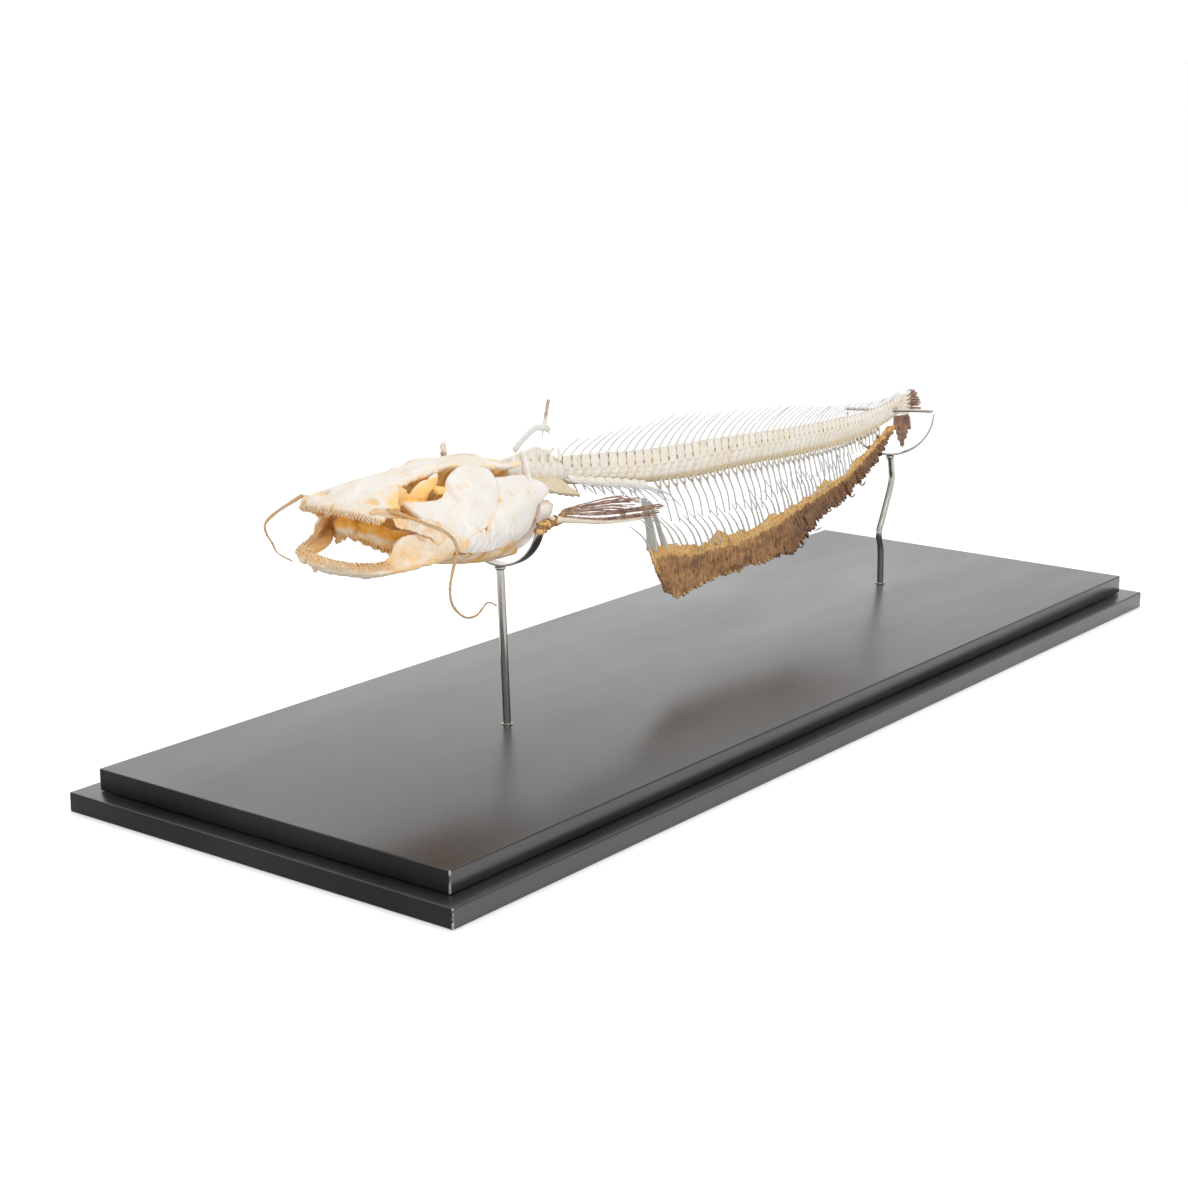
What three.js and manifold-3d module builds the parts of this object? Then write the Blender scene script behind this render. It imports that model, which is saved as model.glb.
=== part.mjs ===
// Skeleton of a sheatfish on its museum mount, life size, in millimetres with +Z up.
// X runs along the base with the snout at -X, the fish's left flank faces -Y, and the
// origin is the middle of the underside of the base. A paired bone is written once, for
// a side of -1 (left) or +1 (right), and its points are [x, distance from the middle, z].

import * as THREE from 'three';
import { mergeVertices } from 'three/addons/utils/BufferGeometryUtils.js';
import Module from 'manifold-3d';

const wasm = await Module();
wasm.setup();
const { lerp, clamp, degToRad } = THREE.MathUtils;

// ---------------------------------------------------------------- driving dimensions

const gap = 0.3; // left between pieces that touch
const left = -1;
const right = 1;

const board = { length: 600, width: 203.4, thick: 10, ledge: 9.45, lowerThick: 9, chamfer: 0.5 };
const boardTop = board.lowerThick + gap + board.thick;

const rod = { across: 3.7, holeDepth: 8 };
const rodSeat = boardTop - rod.holeDepth + gap;
const frontRodFoot = [-141, 0.8];
const frontCradle = { x: -146, radius: 23.5, centre: 121, band: 6, thick: 1.1 };
const rearRodFoot = [199.3, 1.5];
const rearCradle = { x: 202.4, radius: 24, centre: 119.5, band: 4, thick: 1, turn: 27 };
const pin = { x: 201, z: 120.7, across: 1.8, halfLength: 25.2 };

// Middle of the vertebral column, from the back of the head to the tail.
const columnLine = [[-128, 136.2], [-106.5, 133.6], [-86.4, 130.8], [-67.3, 128.3], [-34.2, 124.1],
  [0.4, 121.7], [18.7, 120.9], [58.3, 119.4], [100.3, 117.2], [144.4, 116.2], [167.4, 116.5],
  [190.9, 118.8], [212.5, 122.7]];

// Height of the column over and under its middle, with the arches: [x, over, under].
const archReach = [[-104, 7.2, 6], [-40, 9, 7], [10, 9.4, 8.2], [60, 8.3, 7.6], [145, 7.6, 7.6],
  [211, 4.8, 5]];

// Neural spines, from root to tip: [x, run along X, rise].
const neuralReach = [[-104, 15, 6.5], [-86, 18.3, 8.1], [-37, 28, 14.2], [22, 22, 12.7], [66, 26.7, 11.1],
  [111, 22, 8.4], [162, 14, 6], [211, 6, 4]];

const steepTo = 60; // behind this x the neural spines are straight
const vertebra = { width: 9.2, waist: 0.8, firstPitch: 7.1, lastPitch: 3.4, tailWidth: 5.4 };
const columnCuts = [-104, -33, 42, 122, 211];

// Haemal arches: height at which the two arms meet, and where the spine under them ends.
const haemalReach = [[-26, 111.6, 92], [1, 111, 90], [24, 109.8, 88], [47, 108.1, 87], [70, 106.8, 88.5],
  [107, 105.9, 93], [148, 106, 98], [180, 109.3, 104], [205, 113.5, 110.5]];

// Anal fin in the middle plane.
const finTop = [[-31.5, 82.7], [-12.8, 81.3], [4.7, 75.8], [22.6, 75.8], [50, 75], [78.7, 78], [108, 82.9],
  [128, 86.2], [154, 90.5], [178.6, 101], [199, 110.6]];
const finBottom = [[206, 110.8], [192, 99], [176, 86.5], [160, 77], [141, 71.5], [129, 69.5], [122, 62.5],
  [117, 65], [110, 59], [103.2, 55.6], [99.2, 57.2], [69.8, 56.2], [32, 55.4], [5, 54.4], [-8, 52.9],
  [-20, 59], [-25.5, 68.3]];
const finCuts = [36, 104];
const bearersTo = 166; // behind this x the fin lies close under the haemal spines
const fin = { thickTop: 2.6, thickBottom: 1.2, tooth: 1.6, toothPitch: 4.2 };

// Neurocranium, from the snout back: [x, half width, ridge, edge of the roof, bottom].
const skullStations = [[-253, 15, 143.4, 142.2, 140.2], [-249.5, 18.5, 145.4, 143.6, 139.4],
  [-244, 15, 147.2, 145.4, 138.4], [-236, 12.5, 148.6, 146.8, 137], [-224, 10.6, 149.8, 147.9, 136],
  [-212, 9.3, 150.4, 148.2, 135], [-200, 9, 151.4, 149.5, 133.5], [-190, 10, 152.4, 150.3, 132.4],
  [-178, 11.9, 151.8, 148.6, 131], [-163, 12.4, 151, 144.8, 130], [-155, 11, 148.4, 142.4, 130.6],
  [-146.8, 6, 146, 141, 131.8]];

// ---------------------------------------------------------------- solids from shapes

const spot = (side, [x, out, z]) => new THREE.Vector3(x, side * out, z);

function curve(points, side = right) {
  return new THREE.CatmullRomCurve3(points.map((point) => spot(side, point)), false, 'centripetal');
}

// Reads a table whose first column is x, between its rows.
function readAt(table, x, column) {
  const last = table.length - 1;
  let row = 0;
  while (row < last - 1 && table[row + 1][0] < x) row += 1;
  const [from, to] = [table[row], table[row + 1]];
  const share = clamp((x - from[0]) / (to[0] - from[0]), 0, 1);
  return lerp(from[column], to[column], share);
}

function polygon(sides) {
  const corners = [];
  for (let k = 0; k < sides; k += 1) {
    const turn = Math.PI / 2 + (2 * Math.PI * k) / sides;
    corners.push(new THREE.Vector2(Math.cos(turn), Math.sin(turn)));
  }
  return corners;
}

// A geometry becomes a solid with its faces turned outwards.
function solidOf(geometry) {
  const bare = geometry.clone();
  bare.deleteAttribute('normal');
  bare.deleteAttribute('uv');
  const welded = mergeVertices(bare, 1e-3);
  const places = Float32Array.from(welded.attributes.position.array);
  const corners = Uint32Array.from(welded.index.array);
  const point = (k) => new THREE.Vector3().fromArray(places, 3 * k);
  let volume = 0;
  for (let k = 0; k < corners.length; k += 3) {
    volume += point(corners[k]).dot(point(corners[k + 1]).cross(point(corners[k + 2])));
  }
  if (volume < 0) {
    for (let k = 0; k < corners.length; k += 3) {
      [corners[k], corners[k + 1]] = [corners[k + 1], corners[k]];
    }
  }
  return new wasm.Manifold(new wasm.Mesh({ numProp: 3, vertProperties: places, triVerts: corners }));
}

function movePoints(geometry, move) {
  const places = geometry.attributes.position;
  const point = new THREE.Vector3();
  for (let k = 0; k < places.count; k += 1) {
    point.fromBufferAttribute(places, k);
    const moved = move(point);
    places.setXYZ(k, moved.x, moved.y, moved.z);
  }
  return geometry;
}

// A section carried along a path: place(share of the way, across, up) gives each point.
function sweep(section, steps, place) {
  const shape = new THREE.Shape(section);
  const geometry = new THREE.ExtrudeGeometry(shape, { depth: 1, steps, bevelEnabled: false });
  return solidOf(movePoints(geometry, (point) => place(point.z, point.x, point.y)));
}

// A round or oval bar along a curve, with size(share of the way) as its taper.
function bar(path, { width, height = width, sides = 6, corners = polygon(sides), steps = 8, up = [0, 0, 1],
  size = () => 1 }) {
  const upward = new THREE.Vector3(...up);
  return sweep(corners, steps, (share, across, high) => {
    const along = path.getTangentAt(share);
    const aside = new THREE.Vector3().crossVectors(along, upward).normalize();
    const lift = new THREE.Vector3().crossVectors(aside, along);
    const point = path.getPointAt(share);
    point.addScaledVector(aside, (across * width * size(share)) / 2);
    return point.addScaledVector(lift, (high * height * size(share)) / 2);
  });
}

// A thin feeler: its frame turns along with it, so it may run in any direction.
function feeler(path, { width, tip, sides = 4, steps = 12 }) {
  const frames = path.computeFrenetFrames(steps, false);
  return sweep(polygon(sides), steps, (share, across, high) => {
    const row = Math.round(share * steps);
    const size = lerp(width, tip, share) / 2;
    const point = path.getPointAt(share);
    point.addScaledVector(frames.normals[row], across * size);
    return point.addScaledVector(frames.binormals[row], high * size);
  });
}

// A sheet of bone between a lower and an upper edge, bulged along out.
function sheet(lower, upper, { thick, bulge = 0, out = [0, 0, 0], along = 5, across = 3, rim = 0.6 }) {
  const outward = new THREE.Vector3(...out).normalize();
  const surface = (u, v) => {
    const point = lower.getPointAt(u).lerp(upper.getPointAt(u), v);
    const swell = Math.sin(Math.PI * v) * (0.35 + 0.65 * Math.sin(Math.PI * u));
    return point.addScaledVector(outward, bulge * swell);
  };
  const step = 0.02;
  const box = new THREE.BoxGeometry(1, 1, 1, along, across, 1);
  return solidOf(movePoints(box, (point) => {
    const u = clamp(point.x + 0.5, 0, 1);
    const v = clamp(point.y + 0.5, 0, 1);
    const runU = surface(Math.min(u + step, 1), v).sub(surface(Math.max(u - step, 0), v));
    const runV = surface(u, Math.min(v + step, 1)).sub(surface(u, Math.max(v - step, 0)));
    const normal = runU.cross(runV).normalize();
    const edge = Math.min(u, 1 - u, v, 1 - v) < 0.01 ? rim : 1;
    return surface(u, v).addScaledVector(normal, point.z * thick * edge);
  }));
}

// A flat piece in the middle plane, cut from an outline of [x, z] points.
function flat(outline, thickAt) {
  const shape = new THREE.Shape(outline.map(([x, z]) => new THREE.Vector2(x, z)));
  const geometry = new THREE.ExtrudeGeometry(shape, { depth: 1, steps: 1, bevelEnabled: false });
  return solidOf(movePoints(geometry, (point) => {
    const half = thickAt(point.x, point.y) / 2;
    return new THREE.Vector3(point.x, point.z > 0.5 ? half : -half, point.y);
  }));
}

// A straight spine with three sides, between two points.
function spine(from, to, wide, tip, side = right) {
  const path = new THREE.LineCurve3(spot(side, from), spot(side, to));
  const size = (share) => lerp(1, tip / wide, share);
  return bar(path, { width: wide, sides: 3, steps: 1, up: [0, 1, 0], size });
}

const joined = (solids) => wasm.Manifold.union(solids);

function placed(geometry, x, y, z) {
  return solidOf(geometry.translate(x, y, z));
}

// The same solid with every point pushed outwards, to cut a gap round a neighbour.
function grown(solid, by) {
  const mesh = solid.getMesh();
  const places = Float32Array.from(mesh.vertProperties);
  const normals = new Float32Array(places.length);
  const point = (k) => new THREE.Vector3().fromArray(mesh.vertProperties, 3 * k);
  for (let k = 0; k < mesh.triVerts.length; k += 3) {
    const [a, b, c] = mesh.triVerts.slice(k, k + 3);
    const face = point(b).sub(point(a)).cross(point(c).sub(point(a))).normalize();
    for (const corner of [a, b, c]) {
      normals[3 * corner] += face.x;
      normals[3 * corner + 1] += face.y;
      normals[3 * corner + 2] += face.z;
    }
  }
  for (let k = 0; k < places.length; k += 3) {
    const push = new THREE.Vector3().fromArray(normals, k).normalize().multiplyScalar(by);
    places[k] += push.x;
    places[k + 1] += push.y;
    places[k + 2] += push.z;
  }
  return new wasm.Manifold(new wasm.Mesh({ numProp: 3, vertProperties: places, triVerts: mesh.triVerts }));
}

// Cuts the neighbours out of a piece with a gap, and keeps its largest body.
function fitted(solid, neighbours) {
  let rest = solid;
  for (const other of neighbours) rest = rest.subtract(grown(other, 1.4 * gap));
  const bodies = rest.decompose();
  return bodies.reduce((best, body) => (body.volume() > best.volume() ? body : best));
}

// ---------------------------------------------------------------- mount

function slab(length, width, thick, bottom) {
  const edge = board.chamfer;
  const [x, y] = [length / 2 - edge, width / 2 - edge];
  const corners = [[-x, -y], [x, -y], [x, y], [-x, y]];
  const outline = new THREE.Shape(corners.map((corner) => new THREE.Vector2(...corner)));
  const bevel = { bevelEnabled: true, bevelSegments: 1, bevelSize: edge, bevelThickness: edge };
  const geometry = new THREE.ExtrudeGeometry(outline, { depth: thick - 2 * edge, steps: 1, ...bevel });
  return placed(geometry, 0, 0, bottom + edge);
}

// A rod that leaves its hole already pointing at its next bend.
function rodAlong([x, y], [next, ...others], steps) {
  const sunk = (boardTop - rodSeat) / (next[2] - boardTop);
  const seat = [x - sunk * (next[0] - x), y - sunk * (next[1] - y), rodSeat];
  const path = curve([seat, [x, y, boardTop], next, ...others]);
  return bar(path, { width: rod.across, sides: 6, steps, up: [0, 1, 0] });
}

// Half a ring of flat band that opens upwards, standing across the fish and turned about Z.
function cradle({ x, radius, centre, band, thick, turn = 0 }) {
  const arc = new THREE.Shape();
  arc.absarc(0, 0, radius + thick, Math.PI, 2 * Math.PI, false);
  arc.absarc(0, 0, radius, 2 * Math.PI, Math.PI, true);
  const options = { depth: band, curveSegments: 10, steps: 1, bevelEnabled: false };
  const geometry = new THREE.ExtrudeGeometry(arc, options);
  geometry.translate(0, 0, -band / 2);
  const across = new THREE.Vector3(0, 1, 0);
  const upward = new THREE.Vector3(0, 0, 1);
  geometry.applyMatrix4(new THREE.Matrix4().makeBasis(across, upward, new THREE.Vector3(1, 0, 0)));
  geometry.rotateZ(degToRad(turn));
  return placed(geometry, x, 0, centre);
}

function rearPin(across) {
  const geometry = new THREE.CylinderGeometry(across / 2, across / 2, 2 * pin.halfLength, 6);
  geometry.rotateZ(degToRad(rearCradle.turn));
  return placed(geometry, pin.x, 0, pin.z);
}

// ---------------------------------------------------------------- vertebral column

const columnCurve = new THREE.SplineCurve(columnLine.map((point) => new THREE.Vector2(...point)));

// Height of the middle of the column at x.
function middleAt(x) {
  let [low, high] = [0, 1];
  for (let k = 0; k < 24; k += 1) {
    const share = (low + high) / 2;
    if (columnCurve.getPoint(share).x < x) low = share;
    else high = share;
  }
  return columnCurve.getPoint(low).y;
}

const pitchAt = (x) => lerp(vertebra.firstPitch, vertebra.lastPitch, clamp((x + 20) / 210, 0, 1));
const overAt = (x) => middleAt(x) + readAt(archReach, x, 1);
const underAt = (x) => middleAt(x) - readAt(archReach, x, 2);
const halfWidthAt = (x) => lerp(vertebra.width, vertebra.tailWidth, clamp((x + 60) / 260, 0, 1)) / 2;

// Where each vertebra between two cuts begins, with the end of the last one.
function jointsBetween(from, to) {
  const joints = [from];
  while (joints.at(-1) + 1.5 * pitchAt(joints.at(-1)) < to) {
    joints.push(joints.at(-1) + pitchAt(joints.at(-1)));
  }
  joints.push(to);
  return joints;
}

// Spool-shaped bodies in a row, with a narrow flat above and a broad one below for the arches.
function spools(joints) {
  const rings = [];
  for (let k = 0; k < joints.length - 1; k += 1) {
    rings.push([joints[k], 1], [(joints[k] + joints[k + 1]) / 2, vertebra.waist]);
  }
  rings.push([joints.at(-1), 1]);
  rings[0][0] += gap / 2;
  rings.at(-1)[0] -= gap / 2;
  const half = [[-0.3, 1], [-1, 0], [-0.6, -1]];
  const section = [...half, ...half.map(([across, high]) => [-across, high]).reverse()];
  const corners = section.map((corner) => new THREE.Vector2(...corner));
  return sweep(corners, rings.length - 1, (share, across, high) => {
    const [x, waist] = rings[Math.round(share * (rings.length - 1))];
    const reach = high > 0 ? overAt(x) - middleAt(x) : middleAt(x) - underAt(x);
    const pinch = Math.abs(high) < 0.5 ? waist : 1;
    return new THREE.Vector3(x, across * halfWidthAt(x) * waist, middleAt(x) + high * reach * pinch);
  });
}

// Steep at its root, then leaning back.
function neuralSpine(x) {
  const root = overAt(x) - 0.6;
  const [run, rise] = [readAt(neuralReach, x, 1), readAt(neuralReach, x, 2)];
  const bend = [x + 0.42 * run, 0, root + 0.66 * rise];
  const tip = [x + run, 0, root + 0.6 + rise];
  if (x > steepTo) return spine([x, 0, root], tip, 1, 0.65);
  const path = curve([[x, 0, root], bend, tip]);
  return bar(path, { width: 1, sides: 3, steps: 2, up: [0, 1, 0], size: (share) => lerp(1, 0.65, share) });
}

// As wide as the two arms of its arch at the column, then one thin spine from where they meet.
function haemalSpine(x) {
  const root = underAt(x) + 0.6;
  const [meet, end] = [readAt(haemalReach, x, 1), readAt(haemalReach, x, 2)];
  const run = lerp(0.5, 0.2, clamp(x / 150, 0, 1)) * (meet - end);
  // Each row: [x, height, half width, half length].
  const rows = [[x, root, 0.5 * halfWidthAt(x), 0.8], [x + 2.6, meet, 0.6, 0.6],
    [x + 2.6 + run, end, 0.4, 0.4]];
  return sweep(polygon(3), 2, (share, across, high) => {
    const [along, height, halfWidth, halfLength] = rows[Math.round(2 * share)];
    return new THREE.Vector3(along + high * halfLength, across * halfWidth, height);
  });
}

function columnPart(from, to, { spinesFrom = from, haemalFrom = -28, haemalTo = 190 } = {}) {
  const joints = jointsBetween(from, to);
  const solids = [spools(joints)];
  for (let k = 0; k < joints.length - 1; k += 1) {
    const x = lerp(joints[k], joints[k + 1], 0.28);
    if (x > spinesFrom) solids.push(neuralSpine(x));
    if (x > haemalFrom && x < haemalTo) solids.push(haemalSpine(x));
  }
  return joined(solids);
}

// The last bodies with the fan of plates that carries the tail fin.
function tailRear() {
  const fan = flat([[209, 126.5], [222, 128.6], [223, 122.6], [222, 115.6], [208, 118.5]], () => 2.2);
  const column = joined([columnPart(columnCuts[3], columnCuts[4]), fan]);
  return fitted(column, [rearPin(pin.across)]);
}

// ---------------------------------------------------------------- fins

// The part of the fin's lower edge between two x, jagged between its corners.
function finOutline(from, to) {
  const top = [[from, readAt(finTop, from, 1)], ...finTop.filter(([x]) => x > from + 2 && x < to - 2)];
  top.push([to, readAt(finTop, to, 1)]);
  const rising = [...finBottom].reverse();
  const start = Math.max(from, rising[0][0]);
  const end = Math.min(to, rising.at(-1)[0]);
  const bottom = [[start, readAt(rising, start, 1)]];
  const teeth = Math.round((end - start) / fin.toothPitch);
  for (let k = 1; k < teeth; k += 1) {
    const x = lerp(start, end, k / teeth);
    bottom.push([x, readAt(rising, x, 1) + (k % 2 ? -0.5 : 0.5) * fin.tooth]);
  }
  bottom.push([end, readAt(rising, end, 1)]);
  return [...top, ...bottom.reverse()];
}

// A ray bearer that reaches up from the fin between two haemal spines.
function rayBearer(x) {
  const foot = readAt(finTop, x, 1) - 1.5;
  const rise = Math.min(16, Math.max(5, 0.55 * (underAt(x) - foot)));
  const lean = lerp(0.95, 0.5, clamp(x / 160, 0, 1));
  const top = [x - lean * rise, 0, foot + rise];
  return spine([x, 0, foot], top, 1.1, 0.7);
}

const finThickAt = (x, z) => {
  const share = clamp((z - readAt([...finBottom].reverse(), x, 1)) / 22, 0, 1);
  return lerp(fin.thickBottom, fin.thickTop, share);
};

function analFin(from, to) {
  const solids = [flat(finOutline(from, to), finThickAt)];
  for (let x = from + pitchAt(from); x < to - 2; x += pitchAt(x)) {
    if (x < bearersTo) solids.push(rayBearer(x));
  }
  return solids;
}

// The front fin length also carries the broad blade that leans on the first haemal arch.
function analFinFront() {
  const outline = [[-37.8, 108.5], [-33, 107.6], [-24.2, 84], [-24, 80], [-31, 80], [-31.2, 86]];
  const blade = flat(outline, () => 1.4);
  return joined([...analFin(finTop[0][0], finCuts[0] - gap / 2), blade]);
}

function caudalLobe(outline) {
  return flat(outline, () => 1.4);
}

// A strong lower spine with the rays and their membrane over it. The left fin is folded
// back along the body, the right one stands out and up.
function pectoralFin(side) {
  const root = [-147.6, 29.5, 122.4];
  const shoulderTop = [-141, 29.5, 126];
  const folded = { bend: [-112, 33, 116.2], tip: [-83.5, 36, 113.4], end: [-69, 36, 114.4],
    top: [-104, 34, 125] };
  const raised = { bend: [-124, 52, 127], tip: [-108, 68, 131], end: [-101.6, 74.8, 133],
    top: [-120, 55, 137] };
  const { bend, tip, end, top } = side === left ? folded : raised;
  const height = side === left ? 2.4 : 7;
  const size = (share) => lerp(1, 0.45, share);
  const spineWay = curve([root, bend, tip], side);
  const strongSpine = bar(spineWay, { width: 3.4, height: 3, sides: 5, steps: 4, size });
  const lower = curve([root, bend, end], side);
  const upper = curve([shoulderTop, top, [end[0] + 0.6, end[1], end[2] + height]], side);
  const membrane = sheet(lower, upper, { thick: side === left ? 1.2 : 2.6, along: 5, across: 1, rim: 1 });
  return joined([strongSpine, membrane]);
}

// The fin's first bearer rises as a curved blade and carries one spine.
function dorsalFin() {
  const bearer = curve([[-135.4, 0, 148.4], [-131, 0, 150.6], [-127, 0, 153.2], [-119.4, 0, 156],
    [-112.2, 0, 155.4]]);
  const blade = bar(bearer, { width: 1.8, height: 3.2, sides: 5, steps: 5 });
  const rise = curve([[-113.4, 0, 154.6], [-112, 0, 161], [-109.9, 0, 168.3]]);
  const size = (share) => lerp(1, 0.75, share);
  const ray = bar(rise, { width: 2.4, sides: 4, steps: 2, up: [0, 1, 0], size });
  return joined([blade, ray, spine([-114, 0, 155], [-114.6, 0, 149.6], 1.2, 0.8)]);
}

// ---------------------------------------------------------------- trunk

// Fused front vertebrae: a body, a toothed crest and a plate out to each side.
function weberianComplex() {
  const middle = curve([[-146, 0, 137.4], [-126, 0, 136], [columnCuts[0] - gap, 0, 133.2]]);
  const size = (share) => lerp(1, 0.84, share);
  const body = bar(middle, { width: 11, height: 12.5, sides: 6, steps: 3, size });
  const crestTop = [[-145, 144.5], [-137, 146.2], [-129.5, 147.2], [-123.7, 147.8], [-118, 147.6],
    [-115, 145.8], [-111.3, 145.3], [-109.8, 141.8], [-107, 142], [-104.4, 139.4]];
  const crest = flat([...crestTop, [-104.4, 134], [-145, 138]], () => 1.8);
  const wings = [left, right].map((side) => {
    const inner = curve([[-129, 3, 135], [-120, 3, 134], [-110, 3, 132.6]], side);
    const outer = curve([[-127.6, 14.6, 129.6], [-119, 16, 127], [-108, 16.6, 124.6]], side);
    return sheet(inner, outer, { thick: 1.6, along: 2, across: 1, rim: 1 });
  });
  return joined([body, crest, ...wings]);
}

// Ribs of one side, on the ledge that the transverse processes make beside the column.
function ribs(side) {
  const ledge = curve([[-101, 8, 126], [-81.3, 8.4, 121.4], [-60, 8.2, 116.6], [-40, 6.8, 111.6]], side);
  const root = curve([[-101, 4.2, 129.8], [-81.3, 4.4, 125.4], [-60, 4.4, 121.4], [-40, 4, 117]], side);
  const solids = [sheet(ledge, root, { thick: 1.6, along: 4, across: 1, rim: 1 })];
  for (let x = -100; x < -40; x += vertebra.firstPitch) {
    const { x: rootX, y: rootY, z: rootZ } = ledge.getPointAt(clamp((x + 101) / 61, 0.02, 0.98));
    const out = Math.abs(rootY) - 0.5;
    const bend = [rootX + 6, out + 4.4, rootZ - 2.4];
    const tip = [rootX + 13.5, out + 7.4, rootZ - 8.6];
    const path = curve([[rootX, out, rootZ], bend, tip], side);
    solids.push(bar(path, { width: 1.3, sides: 3, steps: 2, size: (way) => lerp(1, 0.6, way) }));
  }
  return joined(solids);
}

// ---------------------------------------------------------------- skull

// The roof overhangs a narrower braincase, and side struts stand in front of the orbits.
function neurocranium() {
  // Each corner of half a section: [share of the half width, level].
  const levels = [
    [0.4, (ridge, edge) => lerp(edge, ridge, 0.45)],
    [1, (ridge, edge) => edge],
    [0.98, (ridge, edge) => edge - 1.8],
    [0.64, (ridge, edge, bottom) => lerp(bottom, edge, 0.62)],
    [0.5, (ridge, edge, bottom) => lerp(bottom, edge, 0.14)],
  ];
  const last = levels.length;
  const corners = [new THREE.Vector2(0, 0)];
  for (let k = 0; k < last; k += 1) corners.push(new THREE.Vector2(levels[k][0], k + 1));
  corners.push(new THREE.Vector2(0, last + 1));
  for (let k = last - 1; k >= 0; k -= 1) corners.push(new THREE.Vector2(-levels[k][0], k + 1));
  const steps = skullStations.length - 1;
  const shell = sweep(corners, steps, (share, across, row) => {
    const [x, wide, ridge, edge, bottom] = skullStations[Math.round(share * steps)];
    const ends = [ridge, bottom];
    const level = row > 0 && row <= last ? levels[row - 1][1](ridge, edge, bottom) : ends[row > 0 ? 1 : 0];
    return new THREE.Vector3(x, across * wide, level);
  });
  const struts = [left, right].map((side) => {
    const path = curve([[-233, 5, 142.6], [-236, 15, 143], [-238.4, 22.6, 140.8]], side);
    const size = (share) => lerp(1.4, 0.6, share);
    return bar(path, { width: 5, height: 4, sides: 5, steps: 2, size });
  });
  const nostrils = [left, right].map((side) => {
    const drill = new THREE.CylinderGeometry(1.7, 1.7, 12, 6).rotateX(Math.PI / 2);
    return placed(drill, -248.6, side * 12.6, 141);
  });
  return joined([shell, ...struts]).subtract(joined(nostrils));
}

// Toothed bone that edges the upper jaw.
function premaxilla(side) {
  const way = [[-252.6, 0.4, 139.4], [-252, 10, 138.9], [-250, 19, 137.6], [-246, 25.4, 136.6]];
  const size = (share) => lerp(1, 0.75, share);
  return bar(curve(way, side), { width: 5, height: 4, sides: 6, steps: 5, size });
}

// The long feeler, on the small cup-shaped bone that holds its root.
function barbel(side) {
  const leftWay = [[-247, 23.5, 143], [-240, 29, 139.4], [-236.4, 36, 136.6], [-233.8, 43, 134.2],
    [-230.2, 46, 129.6], [-229, 46.2, 124], [-231.4, 46, 117.6], [-231.2, 44, 108.7], [-226.6, 41.6, 100.4],
    [-215, 38, 92.6], [-202.5, 34, 90.3], [-190, 29.4, 92.4], [-177.1, 24, 87.7]];
  const rightWay = [[-247, 23.5, 143], [-252, 27, 139.6], [-256, 31, 136], [-259.4, 34, 131.6],
    [-259.6, 34, 127.6], [-257.1, 33, 122.6], [-256.6, 30, 118.4], [-254, 24, 115.3]];
  const way = curve(side === left ? leftWay : rightWay, side);
  const hair = feeler(way, { width: 2.2, tip: 0.8, sides: 3, steps: 17 });
  const base = curve([[-253, 19.6, 142.6], [-247, 22.4, 144], [-240, 26.4, 141]], side);
  const size = (share) => 1 - 0.45 * share;
  const cup = bar(base, { width: 5, height: 3.6, sides: 5, steps: 2, size });
  return joined([cup, hair]);
}

// The broad sheet from the eye down to the jaw joint.
function cheek(side) {
  const top = [[-230, 17, 142.4], [-218, 17, 141.9], [-206, 16, 142.4], [-194, 13.6, 147],
    [-184, 13.4, 148], [-173, 15, 145]];
  const foot = [[-226, 35.6, 125.4], [-218, 35.6, 124.6], [-209, 35, 124.8], [-196, 33, 126.6]];
  const [lower, upper] = [curve(foot, side), curve(top, side)];
  return sheet(lower, upper, { thick: 2.2, bulge: 3, out: [0.5, side, 0.4], along: 7, across: 4 });
}

// The gill cover.
function opercle(side) {
  const front = curve([[-171, 16.4, 143.6], [-176.6, 25, 135], [-194, 33, 126], [-188, 30, 116.4]], side);
  const rear = curve([[-150, 15.4, 141.8], [-138.6, 22, 132.8], [-152, 26, 128], [-172, 26, 113]], side);
  return sheet(front, rear, { thick: 1.8, bulge: 2.4, out: [0, side, 0.3], along: 6, across: 3 });
}

// One half of the lower jaw: broad along its toothed top, with a lump by the jaw joint.
function mandible(side) {
  const way = [[-264, 0.2, 120.8], [-262.6, 6.5, 119.6], [-259.4, 12, 118], [-253.6, 17.6, 117.2],
    [-246.2, 23.8, 117.7], [-238, 28.8, 119], [-229.6, 33.2, 120.6], [-220.6, 36.6, 121.8]];
  const half = [[1, 1], [1.2, 0.5], [0.8, -0.6], [0, -1]];
  const corners = [...half, [-0.8, -0.6], [-1.2, 0.5], [-1, 1]];
  const section = corners.map((corner) => new THREE.Vector2(...corner));
  const ramus = bar(curve(way, side), { width: 4.4, height: 6.8, corners: section, steps: 8 });
  const lump = new THREE.SphereGeometry(1, 7, 4).scale(7.4, 3.4, 8.6).rotateY(degToRad(14));
  return joined([ramus, placed(lump, -235.7, side * 25, 124.5)]);
}

function hyoid(side) {
  const path = curve([[-238, 1.6, 128.6], [-229, 11, 126], [-214, 20, 124.8], [-200, 27, 122.4]], side);
  return bar(path, { width: 3.2, height: 8.6, sides: 6, steps: 5, size: (share) => lerp(0.8, 1, share) });
}

// The fan of rays that closes the gill chamber from below.
function branchiostegal(side) {
  const front = curve([[-212, 31, 117.6], [-209, 23, 114.4], [-206, 13, 111.4]], side);
  const rear = curve([[-172, 29, 117], [-162, 22, 109], [-156, 1, 101.4]], side);
  return sheet(front, rear, { thick: 1.4, bulge: 1.6, out: [0, side, -1], along: 4, across: 4 });
}

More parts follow.
